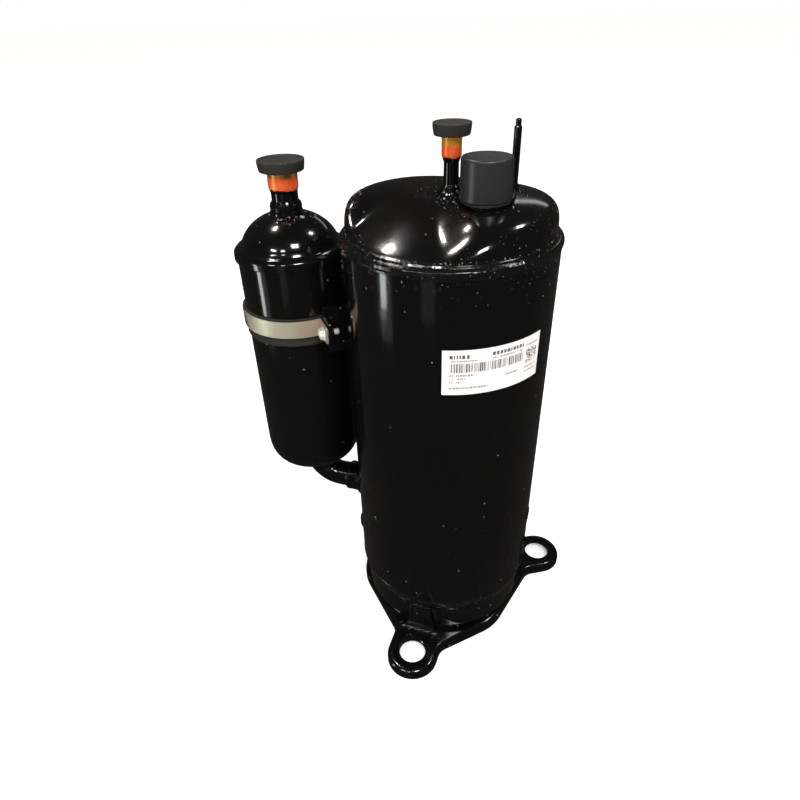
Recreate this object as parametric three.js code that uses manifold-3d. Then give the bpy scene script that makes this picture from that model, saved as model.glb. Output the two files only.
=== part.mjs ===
// Hermetic rolling-piston (rotary) refrigeration compressor with its suction accumulator.
// Millimetres, +Z up. The origin is on the shell's axis, in the plane of the feet's undersides.
// The front foot points along -Y and the accumulator stands on the -X side.
import * as THREE from 'three';
import { mergeVertices } from 'three/addons/utils/BufferGeometryUtils.js';
import Module from 'manifold-3d';

const wasm = await Module();
wasm.setup();

const deg = THREE.MathUtils.degToRad;

// ---- Driving dimensions ----
const GAP = 0.3;                 // clearance between pieces that touch on the real object
const ROUND = 36;                // facets round a large cylinder
const SMALL_ROUND = 16;          // facets round a small one
const CAN_ROUND = 28;            // facets round the accumulator

const SHELL_RADIUS = 73.25;
const SHELL_WALL = 3.2;
const SHELL_BOTTOM = 40;
const SHELL_TOP = 331;
const BEAD_HEIGHT = 7;           // weld bead round the top edge of the shell tube
const BEAD_PROUD = 1;

const CAP_RADIUS = 69.7;         // both caps are cups set into the shell tube
const CAP_WALL = 3.2;
const CAP_INSERT = 16;           // how deep a cap's skirt stands in the tube
const TOP_LAND = 355;            // height of the flat land that carries the terminals
const TOP_SHOULDER = 329;        // height at which the top cap starts to curve inwards
const SHOULDER_POWER = 3.8;      // superellipse exponent of the top cap's shoulder
const SHOULDER_SWING = 1.6;      // how much squarer the shoulder is to the sides than fore and aft
const SHOULDER_PHASE = deg(12);
const BACK_SQUARENESS = 2.6;     // the shoulder is squarest at the back left
const BACK_HEADING = deg(140);
const FACET_AZIMUTH = deg(-23.5);    // the facet falls away in this direction, measured from -Y towards +X
const FACET_SLOPE = 0.33;
const FACET_START = 10;          // distance from the axis at which the facet starts to fall
const FACET_BLEND = 8;
const LAND_EDGE_AZIMUTH = deg(22);   // the land's wall runs outwards in this direction
const LAND_EDGE_WIDTH = 30;
const LEFT_EDGE_HEADING = deg(155);  // the land stays level on this side too, past this distance from the axis
const LEFT_EDGE_START = 30;

const PLATE = 3;                 // thickness of the base plate's sheet
const RIM_DROP = 6;              // how far its rim hangs below the feet's undersides
const FOOT_CIRCLE = 95.25;       // radius of the circle through the three grommet holes
const FOOT_HOLE = 10.8;
const EAR_RADIUS = 21;
// The outline's straight edges for the front foot: each one's heading, measured from -Y towards +X, its distance
// from the axis, and the radius of the corner between it and the next edge, negative where the corner is concave.
const PLATE_EDGES = [
  { heading: deg(-45), distance: 69.5, corner: -12 },
  { heading: deg(-90), distance: EAR_RADIUS, corner: EAR_RADIUS },
  { heading: deg(0), distance: FOOT_CIRCLE + EAR_RADIUS, corner: EAR_RADIUS },
  { heading: deg(90), distance: EAR_RADIUS, corner: -12 },
  { heading: deg(45), distance: 74.5, corner: 45 },
];
const CAP_CORNER = 6;            // outer radius of the bottom cap's lower corner
const TAB_HEIGHT = 33;

const ACCUMULATOR_X = -120.8;
const CAN_RADIUS = 39.8;
const CAN_WALL = 2;
const CAN_BOTTOM = 117;
const CAN_STRAIGHT = 148;        // the can's side is straight above this height
const CAN_TOP = 308;
const SKIRT_RADIUS = 41.8;       // the dome's skirt overlaps the can
const SKIRT_BOTTOM = 303.4;
const DOME_RADIUS = 37;
const DOME_CENTRE = 306;         // height of the dome's widest circle, which lies below its shoulder
const DOME_TOP = 335;

const SUCTION_HEIGHT = 96;       // centre of the suction port
const SUCTION_TUBE = 11.1;       // outer radius of the elbow and standpipe
const BEND_RADIUS = 22;

const BAND_HEIGHT = 260;         // middle of the clamp band
const BAND_WIDTH = 13;
const SCREW_REACH = 53.5;        // how far the clamp screw's axis passes from the accumulator's axis

const COVER_X = 26;              // terminal and its cover
const COVER_Y = -16;
const COVER_RADIUS = 16;
const COVER_TOP = 381;
const PROCESS_X = 37.9;
const PROCESS_Y = 13;

const CYLINDER_LOW = 82;         // the pump's cylinder block
const CYLINDER_HIGH = 110;
const BORE = 27;
const BLOCK_RADIUS = 54;
const ECCENTRICITY = 5.5;
const ROLLER_RADIUS = 21.3;
const ROLLER_BORE = 14.4;
const SHAFT_RADIUS = 8;
const SHAFT_BORE = 8.3;
const VANE_DIRECTION = new THREE.Vector3(-0.8, 0.6, 0);      // from the axis towards the vane
const ECCENTRIC_DIRECTION = new THREE.Vector3(0.6, 0.8, 0);  // square to the vane at rest
const BOLT_CIRCLE = 40;
const BOLT_ANGLES = [20, 100, 230, 310];
const PORT = new THREE.Vector3(-10, 21.5, 0);    // discharge port in the main bearing
const RIVET = new THREE.Vector3(18, 21.5, 0);    // the reed's fixing

const STATOR_LOW = 190;
const STATOR_HIGH = 250;
const STATOR_BORE = 38.5;
const ROTOR_RADIUS = 38;
const SLOTS = 24;

// ---- Materials ----
function finish(color, roughness, metalness) {
  return { color, roughness, metalness };
}
const BLACK_PAINT = finish(0x0b0b0c, 0.16, 0);
const COPPER = finish(0xc8623a, 0.35, 1);
const RUBBER = finish(0x2a2a2b, 0.85, 0);
const COVER_PLASTIC = finish(0x3a3b3d, 0.55, 0);
const STRAP_STEEL = finish(0x8c8b78, 0.4, 1);
const ZINC = finish(0xc9c6bd, 0.3, 1);
const PAPER = finish(0xe9e8e4, 0.6, 0);
const LAMINATION = finish(0x5d6064, 0.5, 1);
const WINDING = finish(0x9c4a22, 0.4, 1);
const CAST_IRON = finish(0x4c4d4f, 0.6, 1);
const GROUND_STEEL = finish(0xa9abad, 0.3, 1);
const ALUMINIUM = finish(0xb9bbbd, 0.45, 1);
const BRASS = finish(0xb28a45, 0.35, 1);
const SLEEVE = finish(0xd8d4c4, 0.7, 0);

// ---- Solids ----
function solidFrom(geometry) {
  const bare = geometry.index ? geometry.toNonIndexed() : geometry.clone();
  bare.deleteAttribute('normal');
  bare.deleteAttribute('uv');
  const merged = mergeVertices(bare, 1e-4);
  const index = merged.index.array;
  const triVerts = [];
  for (let i = 0; i < index.length; i += 3) {
    const [a, b, c] = [index[i], index[i + 1], index[i + 2]];
    if (a !== b && b !== c && c !== a) triVerts.push(a, b, c);
  }
  const vertProperties = merged.attributes.position.array;
  return new wasm.Manifold(new wasm.Mesh({ numProp: 3, vertProperties, triVerts: new Uint32Array(triVerts) }));
}

function geometryFrom(solid) {
  const mesh = solid.getMesh();
  const geometry = new THREE.BufferGeometry();
  geometry.setAttribute('position', new THREE.BufferAttribute(mesh.vertProperties.slice(), 3));
  geometry.setIndex(new THREE.BufferAttribute(mesh.triVerts.slice(), 1));
  geometry.computeVertexNormals();
  return geometry;
}

function join(first, ...others) {
  let solid = solidFrom(first);
  for (const other of others) solid = solid.add(solidFrom(other));
  return geometryFrom(solid);
}

function cut(first, ...others) {
  let solid = solidFrom(first);
  for (const other of others) solid = solid.subtract(solidFrom(other));
  return geometryFrom(solid);
}

// A profile of [radius, height] points, outer side upwards, turned about +Z.
function turned(profile, segments = ROUND) {
  const points = profile.map(([radius, height]) => new THREE.Vector2(radius, height));
  return new THREE.LatheGeometry(points, segments).rotateX(Math.PI / 2);
}

// A plain ring (or, with no inner radius, a disc) between two heights.
function ring(outer, inner, low, high, segments = ROUND) {
  if (!inner) return turned([[0, low], [outer, low], [outer, high], [0, high]], segments);
  return turned([[inner, low], [outer, low], [outer, high], [inner, high], [inner, low]], segments);
}

function rod(radius, low, high, segments = SMALL_ROUND) {
  return ring(radius, 0, low, high, segments);
}

// A rod along +X.
function rodX(radius, low, high, segments = SMALL_ROUND) {
  return rod(radius, low, high, segments).rotateY(Math.PI / 2);
}

function box(low, high) {
  const size = high.map((value, i) => value - low[i]);
  const centre = high.map((value, i) => (value + low[i]) / 2);
  return new THREE.BoxGeometry(...size).translate(...centre);
}

function extruded(shape, low, high, curveSegments = 6) {
  const options = { depth: high - low, bevelEnabled: false, curveSegments };
  return new THREE.ExtrudeGeometry(shape, options).translate(0, 0, low);
}

function circlePath(radius, PathClass = THREE.Path) {
  const path = new PathClass();
  path.absarc(0, 0, radius, 0, 2 * Math.PI, false);
  return path;
}

// A tube or, with no inner radius, a rod along a curve.
function swept(curve, outer, inner, steps, curveSegments = 6) {
  const shape = circlePath(outer, THREE.Shape);
  if (inner) shape.holes.push(circlePath(inner));
  return new THREE.ExtrudeGeometry(shape, { steps, bevelEnabled: false, curveSegments, extrudePath: curve });
}

// Points of a superellipse from [radius, from] to [stop, to], which bulges outwards.
function domeProfile(radius, from, to, power, count, stop = 0) {
  const last = Math.asin(Math.pow(stop / radius, power / 2));
  const points = [];
  for (let i = 0; i <= count; i += 1) {
    const angle = Math.PI / 2 + (last - Math.PI / 2) * (i / count);
    const across = Math.pow(Math.sin(angle), 2 / power);
    const along = Math.pow(Math.abs(Math.cos(angle)), 2 / power);
    points.push([radius * across, from + (to - from) * along]);
  }
  points[0] = [radius, from];
  points[count][0] = stop;
  return points;
}

const compressor = new THREE.Group();

function add(name, geometry, look, parent = compressor) {
  const mesh = new THREE.Mesh(geometry, new THREE.MeshStandardMaterial(look));
  mesh.name = name;
  parent.add(mesh);
  return mesh;
}

// ---- Base plate ----
// The triangular plate with its three ears, all shrunk by inset: arcs joined by straight edges.
function plateOutline(inset) {
  const outline = new THREE.Shape();
  for (let foot = 0; foot < 3; foot += 1) {
    PLATE_EDGES.forEach((edge, i) => {
      const next = i + 1 < PLATE_EDGES.length
        ? PLATE_EDGES[i + 1]
        : { ...PLATE_EDGES[0], heading: PLATE_EDGES[0].heading + deg(120) };
      const start = edge.heading + deg(120 * foot - 90);
      const end = next.heading + deg(120 * foot - 90);
      const toStart = edge.distance - edge.corner;
      const toEnd = next.distance - edge.corner;
      const det = Math.sin(end - start);
      const x = (toStart * Math.sin(end) - toEnd * Math.sin(start)) / det;
      const y = (toEnd * Math.cos(start) - toStart * Math.cos(end)) / det;
      const concave = edge.corner < 0;
      const flip = concave ? Math.PI : 0;
      outline.absarc(x, y, Math.abs(edge.corner - inset), start + flip, end + flip, concave);
    });
  }
  return outline;
}

function basePlate() {
  const bend = 2.5;
  const tray = new THREE.ExtrudeGeometry(plateOutline(bend), {
    depth: 2 * RIM_DROP,
    bevelSize: bend,
    bevelThickness: bend,
    bevelSegments: 2,
    curveSegments: 3,
  });
  tray.translate(0, 0, PLATE - bend - 2 * RIM_DROP);
  const below = box([-130, -130, -40], [130, 130, -RIM_DROP]);
  const hollow = extruded(plateOutline(PLATE), -2 * RIM_DROP, 0, 3);
  let plate = cut(tray, below, hollow);
  const tabOutline = new THREE.Shape([
    new THREE.Vector2(-13, PLATE - 1),
    new THREE.Vector2(13, PLATE - 1),
    new THREE.Vector2(7.5, TAB_HEIGHT),
    new THREE.Vector2(-7.5, TAB_HEIGHT),
  ]);
  for (let foot = 0; foot < 3; foot += 1) {
    const turn = deg(120 * foot);
    const tab = extruded(tabOutline, 0, PLATE).rotateX(Math.PI / 2).translate(0, -CAP_RADIUS - GAP, 0);
    plate = join(plate, tab.rotateZ(turn));
    const hole = rod(FOOT_HOLE, -RIM_DROP, 2 * PLATE, 24).translate(0, -FOOT_CIRCLE, 0);
    plate = cut(plate, hole.rotateZ(turn));
  }
  return plate;
}
add('base_plate', basePlate(), BLACK_PAINT);

// ---- Shell ----
// A cup's profile from its pole up to a height, with a rounded lower corner.
function cupProfile(radius, floor, corner, top) {
  const points = [[0, floor]];
  for (let step = 0; step <= 3; step += 1) {
    const angle = deg(-90 + 30 * step);
    points.push([radius - corner + corner * Math.cos(angle), floor + corner + corner * Math.sin(angle)]);
  }
  return [...points, [radius, top]];
}

function bottomCap() {
  const skirtTop = SHELL_BOTTOM + CAP_INSERT;
  const floor = PLATE + GAP;
  const outside = cupProfile(CAP_RADIUS, floor, CAP_CORNER, skirtTop);
  const inside = cupProfile(CAP_RADIUS - CAP_WALL, floor + CAP_WALL, CAP_CORNER - CAP_WALL, skirtTop);
  return turned([...outside, ...inside.reverse()]);
}
add('bottom_cap', bottomCap(), BLACK_PAINT);

function shellTube() {
  const inner = SHELL_RADIUS - SHELL_WALL;
  const bead = SHELL_TOP - BEAD_HEIGHT;
  const profile = [
    [inner, SHELL_BOTTOM],
    [SHELL_RADIUS, SHELL_BOTTOM],
    [SHELL_RADIUS, bead],
    [SHELL_RADIUS + BEAD_PROUD, bead + 2],
    [SHELL_RADIUS + BEAD_PROUD, SHELL_TOP - 2],
    [SHELL_RADIUS - 1, SHELL_TOP],
    [inner, SHELL_TOP],
    [inner, SHELL_BOTTOM],
  ];
  const port = rodX(14.4, -90, -50).translate(0, 0, SUCTION_HEIGHT);
  return cut(turned(profile), port);
}
add('shell_tube', shellTube(), BLACK_PAINT);

// Height of the pressed surface over a point of the top cap, before its shoulder.
function landHeight(x, y) {
  const along = x * Math.sin(FACET_AZIMUTH) - y * Math.cos(FACET_AZIMUTH) - FACET_START;
  const fall = FACET_SLOPE * 0.5 * (along + Math.sqrt(along * along + FACET_BLEND * FACET_BLEND));
  const across = x * Math.cos(LAND_EDGE_AZIMUTH) + y * Math.sin(LAND_EDGE_AZIMUTH);
  const raised = THREE.MathUtils.smoothstep(across, -LAND_EDGE_WIDTH / 2, LAND_EDGE_WIDTH / 2);
  const leftwards = x * Math.cos(LEFT_EDGE_HEADING) + y * Math.sin(LEFT_EDGE_HEADING);
  const leftRaised = THREE.MathUtils.smoothstep(leftwards, LEFT_EDGE_START, LEFT_EDGE_START + LAND_EDGE_WIDTH);
  return TOP_LAND - fall * (1 - raised) * (1 - leftRaised);
}

// How square the shoulder's curve is at a heading: the power of its superellipse.
function shoulderPower(heading) {
  const back = Math.max(Math.cos(heading - BACK_HEADING), 0);
  return SHOULDER_POWER + SHOULDER_SWING * Math.cos(2 * (heading - SHOULDER_PHASE)) + BACK_SQUARENESS * back * back;
}

// One closed skin: the outer dome and skirt, the rim, then the inner skirt and dome.
function topCapBlank() {
  const rings = [];
  const rows = 6;
  for (const inset of [0, CAP_WALL]) {
    const radius = CAP_RADIUS - inset;
    const side = [];
    for (let row = 1; row <= rows; row += 1) {
      const angle = (Math.PI / 2) * (row / rows);
      const circle = [];
      for (let i = 0; i < ROUND; i += 1) {
        const heading = (2 * Math.PI * i) / ROUND;
        const power = shoulderPower(heading);
        const reach = radius * Math.pow(Math.sin(angle), 2 / power);
        const rise = Math.pow(Math.max(Math.cos(angle), 0), 2 / power);
        const x = reach * Math.cos(heading);
        const y = reach * Math.sin(heading);
        const top = landHeight(x, y) - inset - TOP_SHOULDER;
        circle.push([x, y, TOP_SHOULDER + top * (row === rows ? 0 : rise)]);
      }
      side.push(circle);
    }
    side.push(side[rows - 1].map(([x, y]) => [x, y, SHELL_TOP - CAP_INSERT]));
    rings.push(...(inset ? side.reverse() : side));
  }
  const positions = rings.flat();
  const outerPole = positions.push([0, 0, landHeight(0, 0)]) - 1;
  const innerPole = positions.push([0, 0, landHeight(0, 0) - CAP_WALL]) - 1;
  const index = [];
  for (let i = 0; i < ROUND; i += 1) {
    const next = (i + 1) % ROUND;
    index.push(outerPole, i, next);
    for (let row = 0; row < rings.length - 1; row += 1) {
      const [a, b] = [row * ROUND + i, row * ROUND + next];
      const [c, d] = [a + ROUND, b + ROUND];
      index.push(a, c, b, b, c, d);
    }
    const last = (rings.length - 1) * ROUND;
    index.push(last + i, innerPole, last + next);
  }
  const geometry = new THREE.BufferGeometry();
  geometry.setAttribute('position', new THREE.Float32BufferAttribute(positions.flat(), 3));
  geometry.setIndex(index);
  return geometry;
}

function topCap() {
  const headerHole = rod(11.4, 340, 370).translate(COVER_X, COVER_Y, 0);
  const dischargeHole = rod(5.2, 340, 370);
  const processHole = rod(2.8, 340, 370, 12).translate(PROCESS_X, PROCESS_Y, 0);
  return cut(topCapBlank(), headerHole, dischargeHole, processHole);
}
add('top_cap', topCap(), BLACK_PAINT);

// ---- Tubes and terminal on the top cap ----
const TUBE_SEAT = TOP_LAND + GAP;
add('discharge_tube', turned([
  [3.9, 332], [4.8, 332], [4.8, TUBE_SEAT], [7, TUBE_SEAT], [6.4, 358], [4.8, 360],
  [4.8, 374], [6.3, 377], [6.3, 388.5], [5.4, 388.5], [5.4, 377.4], [3.9, 374.4], [3.9, 332],
], SMALL_ROUND), COPPER);

add('process_tube', turned([
  [1.4, 346], [2.4, 346], [2.4, TUBE_SEAT], [3.8, TUBE_SEAT], [3.2, 357.5], [2.4, 358.5], [2.4, 392],
  [1.75, 393], [1.75, 396.4], [1.2, 397], [0, 397], [0, 392], [1.4, 391], [1.4, 346],
], 14).translate(PROCESS_X, PROCESS_Y, 0), BLACK_PAINT);

const terminal = new THREE.Group();
terminal.position.set(COVER_X, COVER_Y, 0);
compressor.add(terminal);

const PIN_CIRCLE = 5.5;
const PIN_RADIUS = 1.6;
const pinPlaces = [90, 210, 330].map((angle) => {
  return [PIN_CIRCLE * Math.cos(deg(angle)), PIN_CIRCLE * Math.sin(deg(angle))];
});

function drilled(blank, radius, low, high) {
  const drills = pinPlaces.map(([x, y]) => rod(radius, low, high, 12).translate(x, y, 0));
  return cut(blank, ...drills);
}

add('terminal_header', drilled(turned([
  [0, 346.5], [13, 346.5], [13, 348.7], [11, 348.7], [11, 356.4], [0, 356.4],
], SMALL_ROUND), PIN_RADIUS + GAP, 340, 360), GROUND_STEEL, terminal);

pinPlaces.forEach(([x, y], i) => {
  const pin = add(`terminal_pin_${i + 1}`, rod(PIN_RADIUS, 341, 368, 12), GROUND_STEEL, terminal);
  pin.position.set(x, y, 0);
});
add('terminal_gasket', ring(15.6, 12, TUBE_SEAT, TUBE_SEAT + 1, 24), RUBBER, terminal);
add('terminal_cover', turned([
  [COVER_RADIUS - 2, TUBE_SEAT + 1 + GAP],
  [COVER_RADIUS, TUBE_SEAT + 1 + GAP],
  [COVER_RADIUS - 0.3, COVER_TOP - 3],
  [COVER_RADIUS - 1.1, COVER_TOP - 1],
  [COVER_RADIUS - 3, COVER_TOP],
  [0, COVER_TOP],
  [0, COVER_TOP - 2],
  [COVER_RADIUS - 2.4, COVER_TOP - 2],
  [COVER_RADIUS - 2, TUBE_SEAT + 1 + GAP],
], 32), COVER_PLASTIC, terminal);

const CLUSTER_LOW = 335;
add('terminal_connector', drilled(rod(10, CLUSTER_LOW, 345), PIN_RADIUS + GAP, 339, 350), SLEEVE, terminal);

// ---- Plugs in the tubes' mouths: a flat head and a stem ----
function plug(headRadius, headThickness, stemRadius, stemLength, seat) {
  return turned([
    [0, seat - stemLength],
    [stemRadius - 0.6, seat - stemLength],
    [stemRadius, seat - stemLength + 1],
    [stemRadius, seat],
    [headRadius - 0.5, seat],
    [headRadius, seat + headThickness - 0.8],
    [headRadius - 0.8, seat + headThickness],
    [0, seat + headThickness],
  ], 24);
}
add('discharge_plug', plug(12.1, 7.5, 4.9, 10.5, 388.5 + GAP), RUBBER);

// ---- Accumulator ----
const accumulator = new THREE.Group();
accumulator.position.x = ACCUMULATOR_X;
compressor.add(accumulator);

function accumulatorCan() {
  const hole = SUCTION_TUBE + GAP + 0.1;
  const outside = domeProfile(CAN_RADIUS, CAN_STRAIGHT, CAN_BOTTOM, 3.2, 6, hole).reverse();
  const inner = CAN_RADIUS - CAN_WALL;
  const inside = domeProfile(inner, CAN_STRAIGHT, CAN_BOTTOM + CAN_WALL, 3.2, 3, hole);
  return turned([...outside, [CAN_RADIUS, CAN_TOP], [inner, CAN_TOP], ...inside, outside[0]], CAN_ROUND);
}
add('accumulator_can', accumulatorCan(), BLACK_PAINT, accumulator);

// The accumulator's upper half: a skirt that laps the can, a narrow shoulder, and a dome drawn up into a neck.
function accumulatorDome() {
  const shoulder = 313;
  const neck = 9.9;
  const lap = SKIRT_RADIUS - 1.65;
  const outside = domeProfile(DOME_RADIUS, DOME_CENTRE, DOME_TOP, 2, 7, 11.6);
  const inside = domeProfile(DOME_RADIUS - CAN_WALL, DOME_CENTRE, DOME_TOP - CAN_WALL, 2, 5, neck).reverse();
  return turned([
    [lap, SKIRT_BOTTOM],
    [SKIRT_RADIUS, SKIRT_BOTTOM],
    [SKIRT_RADIUS, 308.8],
    [40.6, 310.6],
    [38.2, 311.4],
    ...outside.filter(([, height]) => height > shoulder),
    [10.8, 337.5],
    [10.5, 341],
    [neck, 341],
    ...inside.filter(([, height]) => height > CAN_TOP + 1),
    [DOME_RADIUS - CAN_WALL, CAN_TOP + 1],
    [lap, CAN_TOP + 1],
    [lap, SKIRT_BOTTOM],
  ], CAN_ROUND);
}
add('accumulator_dome', accumulatorDome(), BLACK_PAINT, accumulator);

add('accumulator_inlet_tube', turned([
  [8.3, 304], [9.5, 304], [9.5, 348.5], [10.6, 351], [10.6, 362], [9.4, 362], [9.4, 351.5], [8.3, 349], [8.3, 304],
], SMALL_ROUND), COPPER, accumulator);
add('suction_plug', plug(16.5, 7.7, 8.9, 10.5, 362 + GAP), RUBBER, accumulator);

add('accumulator_strainer', turned([
  [6, 283], [14, 283], [36, 297], [37.3, 297], [37.3, 298.2], [35.6, 298.2], [13.6, 284.2], [6, 284.2], [6, 283],
], 24), ALUMINIUM, accumulator);

function suctionElbow() {
  const path = new THREE.CurvePath();
  const bendTop = new THREE.Vector3(ACCUMULATOR_X, 0, SUCTION_HEIGHT + BEND_RADIUS);
  const bendEnd = new THREE.Vector3(ACCUMULATOR_X + BEND_RADIUS, 0, SUCTION_HEIGHT);
  path.add(new THREE.LineCurve3(new THREE.Vector3(ACCUMULATOR_X, 0, 200), bendTop));
  const k = 0.5523 * BEND_RADIUS;      // a cubic's handle length for a quarter circle
  path.add(new THREE.CubicBezierCurve3(
    bendTop,
    new THREE.Vector3(bendTop.x, 0, bendTop.z - k),
    new THREE.Vector3(bendEnd.x - k, 0, bendEnd.z),
    bendEnd));
  path.add(new THREE.LineCurve3(bendEnd, new THREE.Vector3(-42, 0, SUCTION_HEIGHT)));
  return swept(path, SUCTION_TUBE, 9.9, 22, 5);
}
add('suction_elbow', suctionElbow(), BLACK_PAINT);

const collarRing = turned([
  [SUCTION_TUBE + 0.4, 70.6], [14, 70.6], [14, 73.6], [15.6, 74.6], [15, 76], [13, 78.5],
  [13, 89], [SUCTION_TUBE + 0.4, 89], [SUCTION_TUBE + 0.4, 70.6],
], SMALL_ROUND);
add('suction_collar', collarRing.rotateY(-Math.PI / 2).translate(0, 0, SUCTION_HEIGHT), BLACK_PAINT);

// ---- Accumulator clamp ----
// A strip of a cylinder wall about the group's axis, between two headings.
function wallStrip(inner, outer, from, to, low, high, curveSegments) {
  const shape = new THREE.Shape();
  shape.absarc(0, 0, outer, from, to, false);
  shape.absarc(0, 0, inner, to, from, true);
  return extruded(shape, low, high, curveSegments);
}

const PAD_OUTER = 41.1;
const STRAP_INNER = PAD_OUTER + GAP;
const STRAP_END = deg(42);
const bandLow = BAND_HEIGHT - BAND_WIDTH / 2;
const bandHigh = BAND_HEIGHT + BAND_WIDTH / 2;
const BRACKET_REACH = -71.8 - ACCUMULATOR_X;     // the sides stop just short of the shell

add('clamp_pad', wallStrip(CAN_RADIUS + GAP, PAD_OUTER, deg(1), deg(359), bandLow - 7.5, bandHigh + 1.5, 24),
  RUBBER, accumulator);

// The screw is tangent to the can, so the band's front end, the ear and the screw are drawn along +X and turned together.
const CLAMP_TURN = deg(40);
const FRONT_END = deg(-40);      // heading of the band's front end about the can
const lugX = STRAP_INNER * Math.cos(FRONT_END - CLAMP_TURN) + 0.2;
const lugY = STRAP_INNER * Math.sin(FRONT_END - CLAMP_TURN);
const LUG_END = -SCREW_REACH - 6;
const screwHole = rodX(2.7, 0, 60, 12).translate(0, -SCREW_REACH, BAND_HEIGHT);

const strapArc = wallStrip(STRAP_INNER, STRAP_INNER + 1.2, STRAP_END, 2 * Math.PI + FRONT_END, bandLow, bandHigh, 18);
const frontLug = cut(box([lugX - 1.2, LUG_END, bandLow], [lugX, lugY - 0.2, bandHigh]), screwHole);
const rearX = STRAP_INNER * Math.cos(STRAP_END) + 0.2;
const rearY = STRAP_INNER * Math.sin(STRAP_END);
const rearLug = box([rearX - 1.2, rearY + 1.2, bandLow], [rearX, rearY + 8, bandHigh]);
add('clamp_band', join(strapArc, frontLug.rotateZ(CLAMP_TURN), rearLug), STRAP_STEEL, accumulator);

const EAR_X = lugX + 0.8;
const EAR_THICKNESS = 2;

function clampBracket() {
  const cradleEnd = deg(34);
  const earRoot = deg(-38.3);
  const low = BAND_HEIGHT - 22;
  const high = BAND_HEIGHT + 15;
  const cradle = wallStrip(STRAP_INNER, STRAP_INNER + 2, earRoot, cradleEnd, low, high, 8);
  const middle = STRAP_INNER + 1;
  // Each side runs from the cradle in towards the shell.
  const sides = [earRoot, cradleEnd].map((heading) => {
    const side = Math.sign(heading);
    const shape = new THREE.Shape([
      new THREE.Vector2((middle - 1) * Math.cos(heading), (middle - 1) * Math.sin(heading)),
      new THREE.Vector2((middle + 1) * Math.cos(heading), (middle + 1) * Math.sin(heading)),
      new THREE.Vector2(BRACKET_REACH, side * 16.6),
      new THREE.Vector2(BRACKET_REACH - 1.4, side * 14.2),
    ]);
    return extruded(shape, low, high);
  });
  const ear = cut(
    box([EAR_X, LUG_END, BAND_HEIGHT - 14], [EAR_X + EAR_THICKNESS, lugY - 0.8, BAND_HEIGHT + 12]),
    screwHole).rotateZ(CLAMP_TURN);
  // The band's rear end hooks on a stepped catch.
  const catchX = rearX + GAP;
  const stepY = rearY + 1.6;
  const sideX = middle * Math.cos(cradleEnd);
  const sideY = middle * Math.sin(cradleEnd);
  const catchPlate = box([catchX, stepY, bandLow], [catchX + 2, rearY + 8, bandHigh]);
  const catchStep = box([catchX, stepY, bandLow], [sideX + 1.5, stepY + 2, bandHigh]);
  const catchRoot = box([sideX - 0.5, sideY - 0.5, bandLow], [sideX + 1.5, stepY + 2, bandHigh]);
  return join(cradle, ...sides, ear, catchPlate, catchStep, catchRoot);
}
add('accumulator_bracket', clampBracket(), BLACK_PAINT, accumulator);

const nutX = EAR_X + EAR_THICKNESS + GAP;
const NUT_THICKNESS = 2.4;
const screwHead = rodX(4.4, lugX - 5, lugX - 1.2 - GAP, 6);
const screwShank = rodX(2.3, lugX - 2, nutX + NUT_THICKNESS + 4.2, 12);
const screw = join(screwHead, screwShank).translate(0, -SCREW_REACH, BAND_HEIGHT);
add('clamp_screw', screw.rotateZ(CLAMP_TURN), ZINC, accumulator);
const nut = cut(rodX(4, 0, NUT_THICKNESS, 6).translate(nutX, -SCREW_REACH, BAND_HEIGHT), screwHole);
add('clamp_nut', nut.rotateZ(CLAMP_TURN), ZINC, accumulator);

// ---- Nameplate ----
const plateFrom = deg(-90 + 12);
const plateTo = deg(-90 + 67.7);
add('nameplate', wallStrip(SHELL_RADIUS + GAP, SHELL_RADIUS + GAP + 0.35, plateFrom, plateTo, 247.5, 279.5, 8), PAPER);

// ---- Pump ----
function pumpBoltHoles(radius) {
  return BOLT_ANGLES.map((angle) => {
    const x = BOLT_CIRCLE * Math.cos(deg(angle));
    const y = BOLT_CIRCLE * Math.sin(deg(angle));
    return rod(radius, 60, 130, 8).translate(x, y, 0);
  });
}
const vaneHeading = Math.atan2(VANE_DIRECTION.y, VANE_DIRECTION.x);

function cylinderBlock() {
  const block = ring(BLOCK_RADIUS, BORE, CYLINDER_LOW, CYLINDER_HIGH);
  const slot = box([BORE - 2, -2.15, CYLINDER_LOW - 1], [46, 2.15, CYLINDER_HIGH + 1]).rotateZ(vaneHeading);
  const springHole = rodX(4.6, 42.5, 60, 16).translate(0, 0, SUCTION_HEIGHT).rotateZ(vaneHeading);
  const tubeHole = rodX(SUCTION_TUBE + 0.4, -60, -41).translate(0, 0, SUCTION_HEIGHT);
  const port = rodX(8, -45, -20).translate(0, 0, SUCTION_HEIGHT);
  return cut(block, slot, springHole, tubeHole, port, ...pumpBoltHoles(3.2));
}
add('pump_cylinder', cylinderBlock(), CAST_IRON);

function mainBearing() {
  const low = CYLINDER_HIGH + GAP;
  const flange = turned([
    [SHAFT_BORE, low], [69.4, low], [69.4, low + 10], [14, low + 10], [14, 160], [SHAFT_BORE, 160], [SHAFT_BORE, low],
  ]);
  const windows = [60, 180, 300].map((angle) => {
    const shape = new THREE.Shape();
    shape.absarc(0, 0, 63, deg(-34), deg(34), false);
    shape.absarc(0, 0, 51, deg(34), deg(-34), true);
    return extruded(shape, 100, 130, 3).rotateZ(deg(angle));
  });
  const port = rod(3, 100, 130, 12).translate(PORT.x, PORT.y, 0);
  const rivetHole = rod(1.9, 113, 130, 12).translate(RIVET.x, RIVET.y, 0);
  return cut(flange, ...windows, port, rivetHole, ...pumpBoltHoles(3.2));
}
add('main_bearing', mainBearing(), CAST_IRON);

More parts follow.
